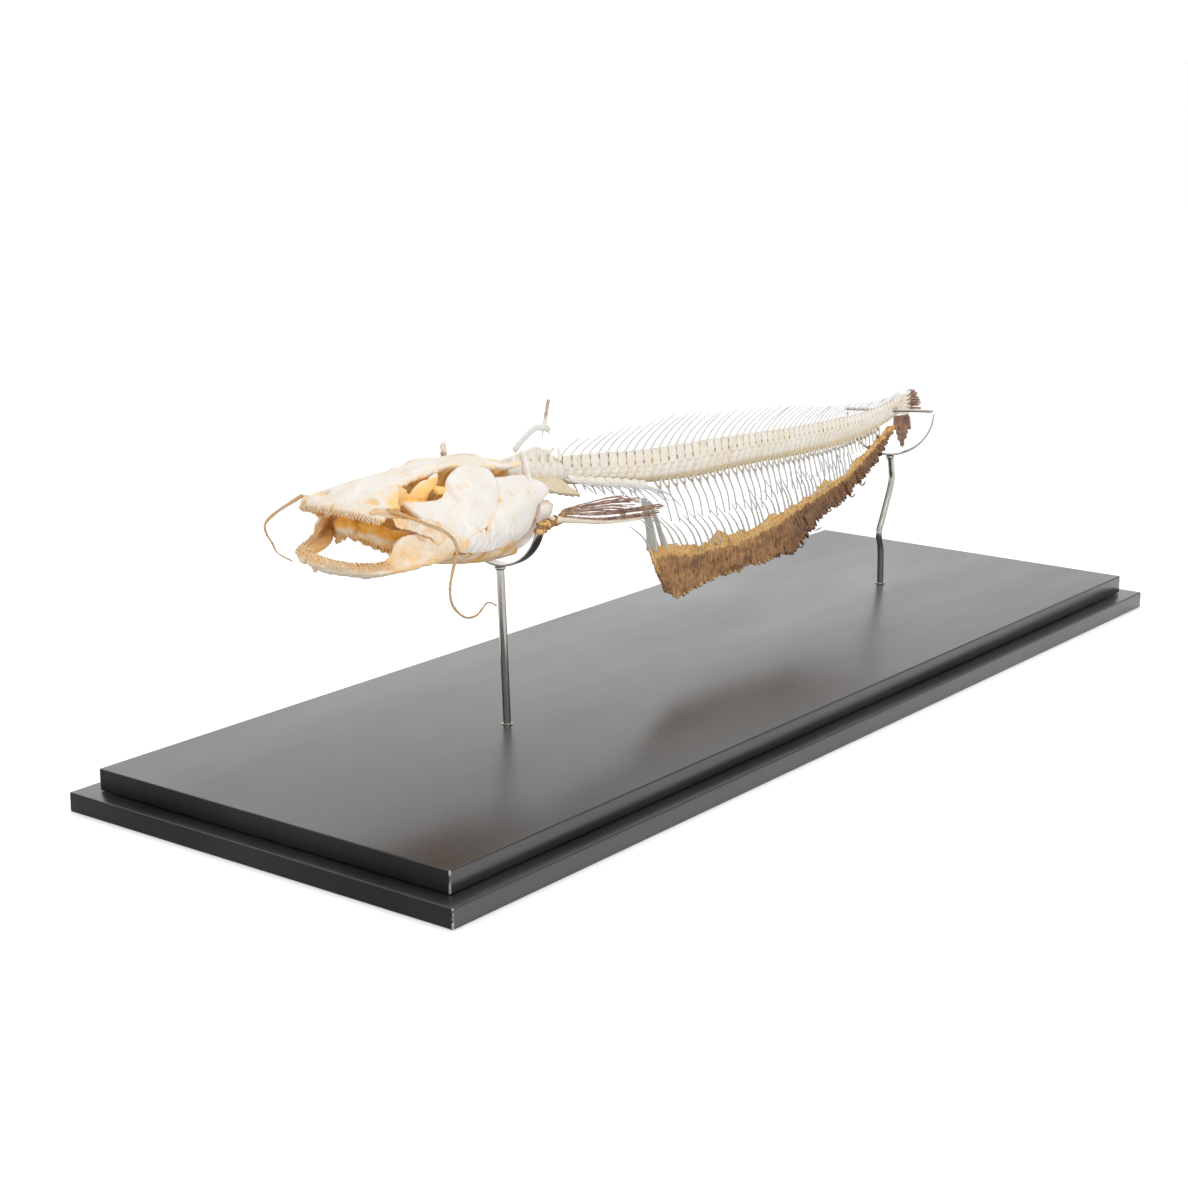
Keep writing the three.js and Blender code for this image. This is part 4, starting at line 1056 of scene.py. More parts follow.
# how far a place is from a line, in mm
def distanceTo(spot, way, steps):
    return min((way(k / steps) / mm - spot).length for k in range(steps + 1))


# small pointed teeth on a jaw: rows are [out, up] from its middle line, pointing along aim
def pegTeeth(way, side, rows, aim, spacing, long, start, end, wide):
    shape = bmesh.new()
    paint = newMark(shape, "paint")
    length = sum(((way((k + 1) / 20) - way(k / 20)).length for k in range(20))) / mm * (end - start)
    count = int(length / spacing)
    for row, (out, lift) in enumerate(rows):
        for k in range(count):
            share = mix(start, end, (k + 0.5 * (row % 2) + rand.uniform(0.1, 0.6)) / (count + 1))
            along = (way(min(share + 0.01, 1)) - way(max(share - 0.01, 0))).normalized()
            aside = along.cross(Vector((0, 0, 1))).normalized()
            lean = Vector((aim[0], side * aim[1], aim[2])) + Vector((jitter(0.2), jitter(0.2), 0))
            high = long * rand.uniform(0.6, 1.15)
            foot = way(share) + aside * (side * out + jitter(0.25)) * mm + Vector((0, 0, lift * mm))
            turn = lean.to_track_quat("Z", "Y").to_matrix().to_4x4()
            at = Matrix.Translation(foot + lean.normalized() * high * 0.4 * mm) @ turn
            bmesh.ops.create_cone(shape, cap_ends=True, segments=5, radius1=wide * mm, radius2=0.1 * mm,
                                  depth=high * mm, matrix=at)
    for vert in shape.verts:
        vert[paint] = rand.uniform(0, 0.35)
    return shape


# stations are [x, half width, ridge, side edge, bottom]; the nostril is [x, out, half length, half width]
skull = {
    "stations": [(-253, 15, 142.8, 141.8, 140), (-249.5, 18.5, 144.9, 143.2, 139.2),
                 (-244, 15, 147.4, 145.2, 138.4), (-236, 12.5, 150, 147.2, 137),
                 (-224, 10.6, 152, 148.4, 136), (-212, 9.3, 153, 149, 135), (-200, 9, 153.6, 150.2, 133.5),
                 (-190, 10, 153.4, 150.7, 132.4), (-178, 11.9, 152.2, 149, 131),
                 (-163, 12.4, 150.2, 146.6, 130), (-155, 11, 147.8, 144.8, 130.6),
                 (-146.8, 6, 146, 142.6, 131.8)],
    "strut": [(-233, 5, 142.6), (-236, 15, 143), (-238.4, 22.6, 140.8)],
    "wingInner": [(-250, 12, 142.6), (-241, 9, 146.0), (-233, 8, 147.0), (-226, 9, 147.4)],
    "wingOuter": [(-249.5, 18.5, 142.4), (-242, 22.6, 141.6), (-235.5, 20, 142.6), (-226, 11.6, 147.2)],
    "crest": [(-196, 0, 152), (-178, 0, 151.8), (-166, 0, 150.2), (-157, 0, 147)],
    "nostril": (-245.4, 14.2, 2.0, 3.4), "groove": (-236, -184), "suture": -166,
    "socketLobes": [((-226.5, 10.4, 142), (7.4, 2.6, 4.2), -14), ((-213, 12.6, 143.4), (7.4, 2.4, 4.0), -20),
                    ((-205.5, 12, 146.4), (5, 2, 2.2), -30)],
    "socketRods": [([(-233, 8, 139.4), (-222, 13, 139.6), (-208, 15.6, 138)], 5.6, 2.6),
                   ([(-206, 12.6, 143), (-200, 13.6, 141.4), (-196, 13, 138.6)], 5.4, 4.6)],
    "rods": [([(-247, 6, 138.6), (-232, 5, 135.4), (-214, 4.2, 133.4)], 3.4, 2.6, 30),
             ([(-192, 6, 134), (-188, 12, 139), (-184, 12.6, 146)], 3.6, 3.0, 24),
             ([(-160, 9, 145.4), (-152, 12.4, 145), (-146.5, 13.4, 145.6)], 3.4, 2.6, 20)]}


def skullLoop(x):
    half, ridge, edge, bottom = (readSmooth(skull["stations"], x, k) for k in (1, 2, 3, 4))
    near = [(0, ridge), (0.4 * half, mix(edge, ridge, 0.45)), (half, edge), (0.98 * half, edge - 1.8),
            (0.64 * half, mix(bottom, edge, 0.62)), (0.5 * half, mix(bottom, edge, 0.14)), (0, bottom)]
    far = [(-out, z) for out, z in near[-2::-1]]
    return smoothWay([(x, out, z) for out, z in near + far], perSpan=6)


def braincase():
    start, end = skull["stations"][0][0], skull["stations"][-1][0]
    loops = {}

    def warp(u, v):
        if v not in loops:
            loops[v] = skullLoop(mix(start, end, v))
        return loops[v](u)
    return closeUp(gridShape(72, 150, warp))


def nostrilAt(spot):
    x, out, along, across = skull["nostril"]
    away = ((spot.x - x) / along) ** 2 + ((abs(spot.y) - out) / across) ** 2
    return bell(away) if spot.z > 140 else 0.0


def roofDetail(spot, normal):
    top = clamp(normal.z * 1.5)
    half = readSmooth(skull["stations"], spot.x)
    across = spot.y / half
    low, high = skull["groove"]
    ridges = 0.15 * math.sin(17 * across + 3 * bumps(spot * mm, 22, 2)) * clamp(abs(across) * 3)
    groove = 0.8 * bell(spot.y / 1.2) * clamp((spot.x - low) / 8) * clamp((high - spot.x) / 8)
    pit = 2.4 * nostrilAt(spot)
    seam = 0.4 * bell((spot.x - skull["suture"] + 2.5 * bumps(spot * mm, 4)) / 0.5)
    under = 0.8 * bumps(spot * mm, 5) + 0.3 * bumps(spot * mm, 1.8)
    return mix(under, ridges - groove - pit - seam + 0.12 * bumps(spot * mm, 3), top)


def neurocraniumShape():
    parts = [braincase()]
    for side in (left, right):
        parts.append(tube(smoothWay(skull["strut"], side), 5.6, 3.4, 16, 30, size=roundEnds(1.4, 0.6, 0.02)))
        inner, outer = smoothWay(skull["wingInner"], side), smoothWay(skull["wingOuter"], side)
        parts.append(plate(inner, outer, 1.9, 0.8))
        parts += [ball(spot, radii, side, 20, turn) for spot, radii, turn in skull["socketLobes"]]
        for line, wide, high in skull["socketRods"]:
            parts.append(tube(smoothWay(line, side), wide, high, 14, 30, size=roundEnds(1, 0.8, 0.15)))
        for line, wide, high, rows in skull["rods"]:
            parts.append(tube(smoothWay(line, side), wide, high, 12, rows))
    parts.append(tube(smoothWay(skull["crest"]), 1.8, 3.2, 10, 50, size=roundEnds(0.6, 0.9, 0.1)))
    shape = fuse(parts, 0.48, 3)
    paint = newMark(shape, "paint")
    relief(shape, roofDetail)
    for vert in shape.verts:
        spot = vert.co / mm
        half, edge = readSmooth(skull["stations"], spot.x), readSmooth(skull["stations"], spot.x, 3)
        away = spot.x - skull["suture"] + 3 * bumps(vert.co, 5)
        seam = bell(away / 1.1) * clamp(0.4 + 1.4 * bumps(vert.co, 3))
        back = clamp((spot.x + 158) / 8) * clamp(0.3 + bumps(vert.co, 5))
        away = math.hypot(abs(spot.y) - half, spot.z - edge)
        rim = bell(away / 1.3) * clamp(0.35 + 1.2 * bumps(vert.co, 6))
        under = clamp((edge - 0.8 - spot.z) / 1.2) * clamp((spot.x + 246) / 6)
        socket = under * clamp(0.95 + 0.4 * bumps(vert.co, 5))
        streak = clamp(2.2 * noise.noise(Vector((spot.x / 14, spot.y / 1.1, 4))) - 0.75) * 0.5
        vert[paint] = clamp(max(nostrilAt(spot), 0.9 * seam, 0.8 * back, 0.7 * rim, socket, streak))
    return shape


headPiece("neurocranium", neurocraniumShape(), "neurocranium", "skull_bone", skullFinish)
print("braincase made")

upperJaw = {
    "line": [(-252.4, 0.2, 141.4), (-251.8, 10, 141), (-249.8, 18, 139.8), (-247, 23.4, 138.6)],
    "width": 5, "height": 4.2,
    "teeth": {"rows": [(-2.5, 0.1), (-2.4, -0.7), (-2.0, -1.4), (-1.0, -2.0), (0.3, -2.2), (1.6, -1.8)],
              "aim": (-0.7, 0, -1), "spacing": 1.35, "long": 1.3, "start": 0.0, "end": 0.97, "wide": 0.48}}
lowerJaw = {
    "line": {left: [(-265.6, -3.6, 122), (-264.8, 3, 120.2), (-260.6, 10.4, 118.2), (-253.6, 17.4, 117),
                    (-246.2, 23.8, 117.4), (-238, 28.8, 119), (-229.6, 33.2, 120.6), (-220.6, 36.6, 121.8)],
             right: [(-265.6, 3.6, 122), (-264.2, 8, 122), (-260.2, 11.6, 121.8), (-253, 15.2, 122),
                     (-244, 19, 123), (-234, 23.6, 124), (-226, 29, 124), (-220, 35, 123)]},
    "blade": {left: [(-246, 23.4, 121), (-242.6, 24.2, 127.6), (-237.4, 25.4, 130.2), (-231.4, 28.2, 129.4),
                     (-225, 33, 125.4)],
              right: [(-250, 16.4, 123), (-245, 17.4, 129), (-238, 19.6, 132.4), (-230, 24.6, 131.6),
                      (-222, 32, 126.6)]},
    "bladeFrom": {left: 0.5, right: 0.36}, "chin": {left: 5.2, right: 3.2}, "shelfOn": (0.1, 0.78),
    "shelf": 7.5, "width": 5.0, "height": 6.2, "joint": ((-223.4, 35.4, 123.4), (5.2, 3.0, 4.2), -16),
    "teeth": {"rows": [(-2.5, 0.7), (-2.3, 1.7), (-1.5, 2.6), (-0.2, 3.0), (1.1, 2.9)],
              "aim": (-0.25, 0.35, 1), "spacing": 1.15, "long": 1.1, "start": 0.0, "end": 0.58, "wide": 0.42}}


def upperJawShape(side):
    way = smoothWay(upperJaw["line"], side)
    band = tube(way, upperJaw["width"], upperJaw["height"], 24, 80, size=roundEnds(1, 0.75, 0.03))
    paint = newMark(band, "paint")
    relief(band, lambda spot, normal: 0.25 * bumps(spot * mm, 2.2))
    for vert in band.verts:
        line = way(clamp(abs(vert.co.y) / mm / 25.6)) / mm
        vert[paint] = clamp((line.z + 0.2 - vert.co.z / mm) / 1.4 + 0.5 * bumps(vert.co, 3))
    return joinShapes([band, pegTeeth(way, side, **upperJaw["teeth"])])


def jawSection(turn):
    across, high = math.cos(turn), math.sin(turn)
    groove = 1 - 0.22 * bell((high - 0.3) / 0.16)
    return across * groove * mix(1.05, 0.86, clamp(-high)), high


def lowerJawShape(side):
    way = smoothWay(lowerJaw["line"][side], side)
    bar = tube(way, lowerJaw["width"], lowerJaw["height"], 28, 120, size=roundEnds(0.95, 0.9, 0.02),
               section=jawSection)
    bladeTop, bladeStart = smoothWay(lowerJaw["blade"][side], side), lowerJaw["bladeFrom"][side]
    blade = plate(lambda share: way(mix(bladeStart, 0.95, share)), bladeTop, 2.6, 0.8, (0, side, 0), 50, 40)
    knob, radii, turn = lowerJaw["joint"]
    joint = ball(knob, radii, side, 20, turn)
    root, drop = way(0.05) / mm, lowerJaw["chin"][side]
    chinLine = [(root.x + 0.8, side * root.y, root.z - 1), (root.x + 0.4, side * root.y, root.z - 0.6 * drop),
                (root.x, side * root.y + 0.4, root.z - drop)]
    chin = tube(smoothWay(chinLine, side), 3.6, 2.6, 14, 16, size=roundEnds(1.1, 0.4, 0.1))

    def shelfRoot(share):
        return way(mix(*lowerJaw["shelfOn"], share))

    def shelfEdge(share):
        reach = lowerJaw["shelf"] * math.sin(math.pi * share) ** 0.6
        return shelfRoot(share) + Vector((0, -side * reach, 0.6)) * mm
    shelf = plate(shelfRoot, shelfEdge, 2.4, 0.5, (0, 0, 1), 60, 20)
    shape = fuse([bar, blade, joint, chin, shelf], 0.42, 3)
    paint = newMark(shape, "paint")

    # the blade is hollowed where the jaw muscle held, with ridges fanning from the joint
    def detail(spot, normal):
        hollow = math.exp(-((spot.x + 238) / 3.2) ** 2 - ((spot.z - 125.4) / 2.2) ** 2) * abs(normal.y)
        fan = math.atan2(spot.z - 119, spot.x + 222)
        ridges = 0.16 * math.sin(26 * fan + 2 * bumps(spot * mm, 6)) * abs(normal.y)
        return 0.5 * bumps(spot * mm, 3.4) + 1.4 * ridges - 1.1 * hollow
    relief(shape, detail)
    shade = newMark(shape, "thin")
    for vert in shape.verts:
        spot = vert.co / mm
        line = way(clamp((spot.x + 264) / 43.4)) / mm
        toothed = clamp((spot.z - line.z + 0.4) / 1.2) * clamp((-241 - spot.x) / 6)
        inner = clamp((abs(line.y) - side * spot.y - 2.2) / 1.5) * clamp((spot.x + 262) / 6)
        inside = clamp(-1.6 * side * vert.normal.y) * clamp((spot.z - line.z - 0.5) / 2.5)
        inside *= clamp(0.9 + 0.5 * bumps(vert.co, 5))
        patch = clamp(2.4 * bumps(vert.co, 6) - 0.5) * clamp((spot.x + 240) / 6)
        outer = 0.75 * clamp((2.4 - abs(spot.z - line.z)) / 1.5) * clamp(0.7 + bumps(vert.co, 7))
        away = math.hypot(spot.x + 240, spot.z - 122.5)
        root = 0.9 * bell(away / 4.5) * clamp(0.7 + bumps(vert.co, 3))
        vert[paint] = clamp(max(0.9 * toothed, inside, inner, 0.8 * patch, outer, root))
        # the lower face of the bar is darkened: painted shade
        vert[shade] = 0.7 * clamp((line.z - 1.2 - spot.z + 0.8 * bumps(vert.co, 5)) / 1.6)
    return joinShapes([shape, pegTeeth(way, side, **lowerJaw["teeth"])])


palate = {
    "arch": [(-247, -5, 134.6), (-244, 0, 133), (-240, 8, 130), (-234, 17, 126.4), (-227, 23, 124.4)],
    "fringe": [(-243, 2, 132), (-240, 8, 130), (-234, 17, 126.4), (-228, 22, 124.8)],
    "teeth": {"rows": [(0.8, -4.4), (-0.6, -4.6)], "aim": (0.1, 0, -1), "spacing": 1.5, "long": 2.0,
              "start": 0.1, "end": 0.95, "wide": 0.5}}


# arched palate behind the upper teeth, with a ragged lower edge
def palateShape():
    arches = [tube(smoothWay(palate["arch"], side), 4.2, 10.5, 24, 70, size=roundEnds(0.95, 0.8, 0.05))
              for side in (left, right)]
    shape = fuse(arches, 0.45, 2)
    paint = newMark(shape, "paint")

    def detail(spot, normal):
        return 0.5 * bumps(spot * mm, 3.4) + 0.5 * math.sin(spot.z * 1.25 - spot.x * 0.2) * abs(normal.y)
    relief(shape, detail)
    for vert in shape.verts:
        spot = vert.co / mm
        # the upper part of the roll is painted deep orange: stained bone, and painted shade standing in for
        # the shaded roof of the mouth behind the upper teeth
        middle = mix(134, 124.4, clamp((spot.x + 247) / 20))
        high = clamp((spot.z - middle + 3.2 + 1.6 * bumps(vert.co, 5)) / 2)
        low = clamp((middle - 3.4 - spot.z + bumps(vert.co, 4)) / 2)
        vert[paint] = max(high, 0.75 * low)
    fringes = [pegTeeth(smoothWay(palate["fringe"], side), side, **palate["teeth"]) for side in (left, right)]
    return joinShapes([shape] + fringes)


barbels = {
    left: [(-247, 23.5, 143), (-240, 29, 139.4), (-236.4, 36, 136.6), (-233.8, 43, 134.2),
           (-230.2, 46, 129.6), (-229, 46.2, 124), (-231.4, 46, 117.6), (-231.2, 44, 108.7),
           (-226.6, 41.6, 100.4), (-215, 38, 92.6), (-202.5, 34, 90.3), (-190, 29.4, 92.4),
           (-177.1, 24, 87.7)],
    right: [(-247, 23.5, 143), (-252, 27, 139.6), (-256, 31, 136), (-259.4, 34, 131.6), (-259.6, 34, 127.6),
            (-257.1, 33, 122.6), (-256.6, 30, 118.4), (-254, 24, 115.3)]}


def feelerShape(side):
    line = smoothWay(barbels[side], side)
    shape = tube(line, 1.05, 1.15, 10, 150, (0.2, 0.3, 1), roundEnds(1.5, 0.5, 0.008))
    return relief(shape, lambda spot, normal: 0.16 * bumps(spot * mm, 4) + 0.08 * bumps(spot * mm, 1))


maxilla = {
    "cup": [(-251.4, 18.6, 141), (-247, 22, 142.2), (-240, 26.4, 140.4)],
    "lobe": [(-249, 20.5, 140.4), (-244, 24, 139.6), (-239.6, 27.4, 139)]}


# the small bone that holds the root of a feeler
def maxillaShape(side):
    cup = tube(smoothWay(maxilla["cup"], side), 3.6, 2.4, 16, 30, size=roundEnds(0.9, 0.5, 0.1))
    lobe = tube(smoothWay(maxilla["lobe"], side), 2.6, 2.0, 12, 20)
    shape = fuse([cup, lobe], 0.36, 1)
    return relief(shape, lambda spot, normal: 0.5 * bumps(spot * mm, 2.6))


cheek = {
    "top": [(-230, 17.4, 141.6), (-218, 17.8, 139.6), (-206, 16.8, 138.8), (-200.6, 15, 141.4),
            (-196.4, 13.6, 147), (-186, 13, 150), (-173, 14.6, 146.6)],
    "foot": [(-226, 35.6, 125.4), (-218, 35.6, 124.6), (-209, 35, 124.8), (-196, 33, 126.6)],
    "cracks": [[(-205, 26, 134), (-209, 27, 133.4), (-211, 28.6, 131.4)],
               [(-205, 26, 134), (-200, 26, 134.4), (-197, 25, 133.6)],
               [(-205, 26, 134), (-204.4, 24, 137), (-205.6, 22.6, 138.6)]],
    "thick": 2.0, "bulge": 3}
pterygoid = {
    "upper": [(-246, 26, 139.6), (-238, 28.4, 138), (-228, 30, 136.4), (-219, 33, 132)],
    "lower": [(-244, 26.6, 135), (-236, 28.4, 132.4), (-229, 31.5, 128.6), (-219, 35, 124.4)],
    "ridge": [(-232, 30.4, 137), (-230, 31.4, 132), (-227, 33, 127)],
    "knobs": [((-219.5, 35.4, 125.6), (4.4, 2.6, 4.0), 20, 20), ((-213, 35.6, 123.4), (4.6, 2.4, 3.2), 20, 0),
              ((-225.5, 33.6, 127.4), (2.6, 1.8, 4.6), 16, -30)]}
gill = {
    "front": [(-174, 16.6, 143.2), (-178.4, 25.4, 135.4), (-195, 33.6, 126), (-189, 30.4, 116.4)],
    "rear": [(-146.5, 16, 139.8), (-138.6, 22, 133.2), (-149, 24.5, 128.6), (-152, 25, 124.6),
             (-156.5, 25.6, 119.6), (-163, 26.2, 116.6), (-171, 26.4, 114.6)],
    "strapLow": [(-213, 33.4, 120), (-200, 32, 117.4), (-186, 30.4, 115.6)],
    "strapHigh": [(-215, 35.4, 124.6), (-202, 34.8, 126.4), (-190, 33.4, 125.4)],
    "hole": (-177.4, 26.0, 134.8), "thick": 1.6, "bulge": 2.4}
throat = {
    "front": [(-212, 31, 117.6), (-209, 23, 114.4), (-206, 13, 111.4)],
    "rear": [(-172, 29, 117), (-162, 22, 109), (-156, 1, 101.4)], "thick": 1.3, "bulge": 1.6}


def cheekShape(side):
    top, foot = smoothWay(cheek["top"], side), smoothWay(cheek["foot"], side)
    outward = Vector((0.5, side, 0.4)).normalized() * cheek["bulge"] * mm

    # the rear edge bows back, in under the gill cover
    def warp(u, v):
        arch = math.sin(math.pi * v) ** 0.6
        swell = outward * math.sin(math.pi * v) * (0.35 + 0.65 * math.sin(math.pi * u))
        return foot(u).lerp(top(u), v) + swell + Vector((7.5 * arch, -side * 0.4, 0)) * u ** 5 * mm
    shape = thicken(gridShape(120, 64, warp), cheek["thick"])
    cracks = [smoothWay(line, side) for line in cheek["cracks"]]
    paint = newMark(shape, "paint")

    def detail(spot, normal):
        crack = max(bell(distanceTo(spot, way, 14) / 0.45) for way in cracks)
        fan = math.atan2(spot.z - 122, spot.x + 214)
        return 0.07 * math.sin(44 * fan + 2 * bumps(spot * mm, 9)) - 0.35 * crack + 0.4 * bumps(spot * mm, 8)
    relief(shape, detail)
    for vert in shape.verts:
        spot = vert.co / mm
        joint = clamp((-214 - spot.x) / 9) * clamp((132 - spot.z) / 5) * clamp(0.3 + 1.4 * bumps(vert.co, 4))
        inside = clamp(-2 * side * vert.normal.y) * clamp(0.95 + 0.5 * bumps(vert.co, 8))
        faint = 0.35 * clamp(2.6 * bumps(vert.co, 11) - 0.55)
        crack = max(bell(distanceTo(spot, way, 14) / 0.4) for way in cracks)
        vert[paint] = clamp(max(0.8 * joint, inside, faint, 0.7 * crack))
    return shape


# thin bone from the upper jaw back to the jaw joint, and the knobs of the joint
def pterygoidShape(side):
    upper, lower = smoothWay(pterygoid["upper"], side), smoothWay(pterygoid["lower"], side)
    sheet = plate(lower, upper, 1.5, 0.5, (0, side, 0), 60, 40)
    knobs = [ball(spot, radii, side, segments, turn) for spot, radii, segments, turn in pterygoid["knobs"]]
    ridge = tube(smoothWay(pterygoid["ridge"], side), 1.8, 1.4, 10, 24)
    shape = fuse([sheet, *knobs, ridge], 0.42, 2)
    paint = newMark(shape, "paint")
    relief(shape, lambda spot, normal: 0.4 * bumps(spot * mm, 4) + 0.12 * math.sin(spot.x * 1.8 - spot.z))
    for vert in shape.verts:
        spot = vert.co / mm
        patch = clamp(2.0 * bumps(vert.co, 5) - 0.1) * clamp((spot.x + 240) / 10)
        inside = clamp(-2 * side * vert.normal.y)
        front = 0.7 * clamp((-235 - spot.x) / 5) * clamp(0.6 + bumps(vert.co, 3))
        vert[paint] = clamp(max(0.7 * patch, inside, front))
    return shape


def gillCoverShape(side):
    front, rear = smoothWay(gill["front"], side), smoothWay(gill["rear"], side)
    cover = plate(front, rear, gill["thick"], gill["bulge"], (0, side, 0.3), 110, 74)
    newMark(cover, "paint")
    x, out, z = gill["hole"]
    hole = Vector((x, side * out, z))
    low, high = smoothWay(gill["strapLow"], side), smoothWay(gill["strapHigh"], side)
    shape = joinShapes([cover, plate(low, high, 1.4, 1.0, (0, side, 0), 60, 24)])
    paint = shape.verts.layers.float["paint"]

    def detail(spot, normal):
        fan = math.atan2(spot.z - 146, spot.x + 184)
        pit = bell((spot - hole).length / 1.2)
        return 0.08 * math.sin(40 * fan + 1.5 * bumps(spot * mm, 9)) + 0.35 * bumps(spot * mm, 7) - 1.5 * pit
    relief(shape, detail)
    for vert in shape.verts:
        spot = vert.co / mm
        # along the seam with the cheek the front edge is painted: painted shade of the gap between the two
        # bones
        seam = clamp(1.2 - distanceTo(spot, front, 24) / 1.5) * clamp((137 - spot.z) / 4)
        seam *= clamp(0.75 + bumps(vert.co, 4))
        rim = clamp(1 - distanceTo(spot, rear, 24) / 2.0) * clamp(0.3 + bumps(vert.co, 5))
        low = clamp((119 - spot.z) / 5) * clamp(0.4 + 1.2 * bumps(vert.co, 6))
        inside = clamp(-2 * side * vert.normal.y)
        pit = bell((spot - hole).length / 1.4)
        vert[paint] = clamp(max(seam, 0.6 * rim, 0.7 * low, inside, pit))
    return shape


def throatShape(side):
    front, rear = smoothWay(throat["front"], side), smoothWay(throat["rear"], side)
    shape = plate(front, rear, throat["thick"], throat["bulge"], (0, side, -1), 90, 70)

    def rays(spot, normal):
        fan = math.atan2(spot.y * side - 8, spot.x + 226)
        return 0.4 * math.sin(34 * fan + 1.2 * bumps(spot * mm, 9)) + 0.3 * bumps(spot * mm, 6)
    relief(shape, rays)
    paint = newMark(shape, "paint")
    for vert in shape.verts:
        spot = vert.co / mm
        fan = math.atan2(spot.y * side - 8, spot.x + 226)
        vert[paint] = clamp(0.3 + 0.35 * math.sin(34 * fan + 1.6) + 1.2 * bumps(vert.co, 7))
    return shape


hyoid = {
    "line": [(-238, 1.6, 128.6), (-229, 11, 126), (-214, 20, 124.8), (-200, 27, 122.4)],
    "rakers": {"rows": [(0.4, -3.2), (-0.6, -3.4)], "aim": (-0.2, 0, -1), "spacing": 1.7, "long": 1.9,
               "start": 0.16, "end": 0.75, "wide": 0.45}}


# the bar under the tongue, with gill rakers along its lower edge
def hyoidShape(side):
    way = smoothWay(hyoid["line"], side)
    bar = tube(way, 3.2, 8.2, 22, 90, size=roundEnds(0.8, 1, 0.05))

    def detail(spot, normal):
        return 0.45 * bumps(spot * mm, 4) + 0.12 * math.sin(spot.z * 3.4 + spot.x * 0.5)
    relief(bar, detail)
    return joinShapes([bar, pegTeeth(way, side, **hyoid["rakers"])])


shoulder = {
    "limb": {left: [(-140.8, 8, 149), (-145, 14, 146)], right: [(-147.4, 15.6, 143.6)]},
    "arch": [(-147.5, 17, 141.5), (-147, 19.6, 134), (-145.8, 22, 127), (-147.6, 22.4, 120),
             (-152, 20.4, 113.5), (-158.5, 14, 108.5), (-163, 0.2, 106)],
    "low": [(-147, 24.2, 120.4), (-143.6, 24.8, 121), (-140.6, 25, 122.4)],
    "top": [(-146.4, 23.2, 129.4), (-142, 24, 129.2), (-138.4, 24.6, 127)]}


def shoulderShape(side):
    way = smoothWay(shoulder["limb"][side] + shoulder["arch"], side)
    arch = tube(way, 5.0, 2.4, 20, 120, (1, 0, 0), roundEnds(0.85, 1.1, 0.02))
    rim = smoothWay(shoulder["top"], side)
    blade = plate(smoothWay(shoulder["low"], side), rim, 1.8, 0.6, (0, side, 0), 30, 24)
    shape = fuse([arch, blade], 0.45, 2)
    paint = newMark(shape, "paint")
    relief(shape, lambda spot, normal: 0.16 * bumps(spot * mm, 5) + 0.08 * math.sin(spot.z * 2.2 + spot.y))
    for vert in shape.verts:
        spot = vert.co / mm
        near = clamp(1.2 - distanceTo(spot, rim, 16) / 2.2)
        bent = clamp((133 - spot.z) / 3) * clamp((spot.z - 117) / 3) * clamp(23.4 - abs(spot.y))
        foot = 0.6 * clamp((112 - spot.z) / 6)
        vert[paint] = clamp(max(near, 0.8 * bent, foot) * clamp(0.7 + bumps(vert.co, 3)))
    return shape


headPiece("palate", palateShape(), "neurocranium", "stained_bone", throatFinish)
pairs = (("premaxilla", upperJawShape, "premaxilla", "tooth_bone", jawFinish),
         ("mandible", lowerJawShape, "mandible", "tooth_bone", jawFinish),
         ("maxilla", maxillaShape, "barbel", "stained_bone", throatFinish),
         ("barbel", feelerShape, "barbel", "feeler_skin", skinFinish),
         ("cheek", cheekShape, "cheek", "skull_bone", cheekFinish),
         ("pterygoid", pterygoidShape, "cheek", "skull_bone", jawFinish),
         ("opercle", gillCoverShape, "opercle", "skull_bone", cheekFinish),
         ("branchiostegal", throatShape, "branchiostegal", "stained_bone", throatFinish),
         ("hyoid", hyoidShape, "hyoid", "stained_bone", throatFinish),
         ("shoulder", shoulderShape, "shoulder", "skull_bone", collarFinish))
for side, word in sides:
    for name, make, node, slotName, finish in pairs:
        headPiece(name + "_" + word, make(side), node + "_" + word, slotName, finish)
print("jaws, cheeks and shoulder made")


# fused front vertebrae with their crest and side plates
nape = {
    "body": [(-146, 0, 137.4), (-126, 0, 136), (-104.3, 0, 133.2)],
    "crest": [(-147, 145.6), (-145, 146), (-137, 146.6), (-129.5, 147.2), (-123.7, 147.8), (-118, 147.6),
              (-115, 145.8), (-111.3, 145.3), (-109.8, 141.8), (-107, 142), (-104.4, 139.4)],
    "wingInner": [(-129, 3, 135), (-120, 3, 134), (-110, 3, 132.6)],
    "wingOuter": [(-127.6, 14.6, 129.6), (-119, 16, 127), (-108, 16.6, 124.6)]}


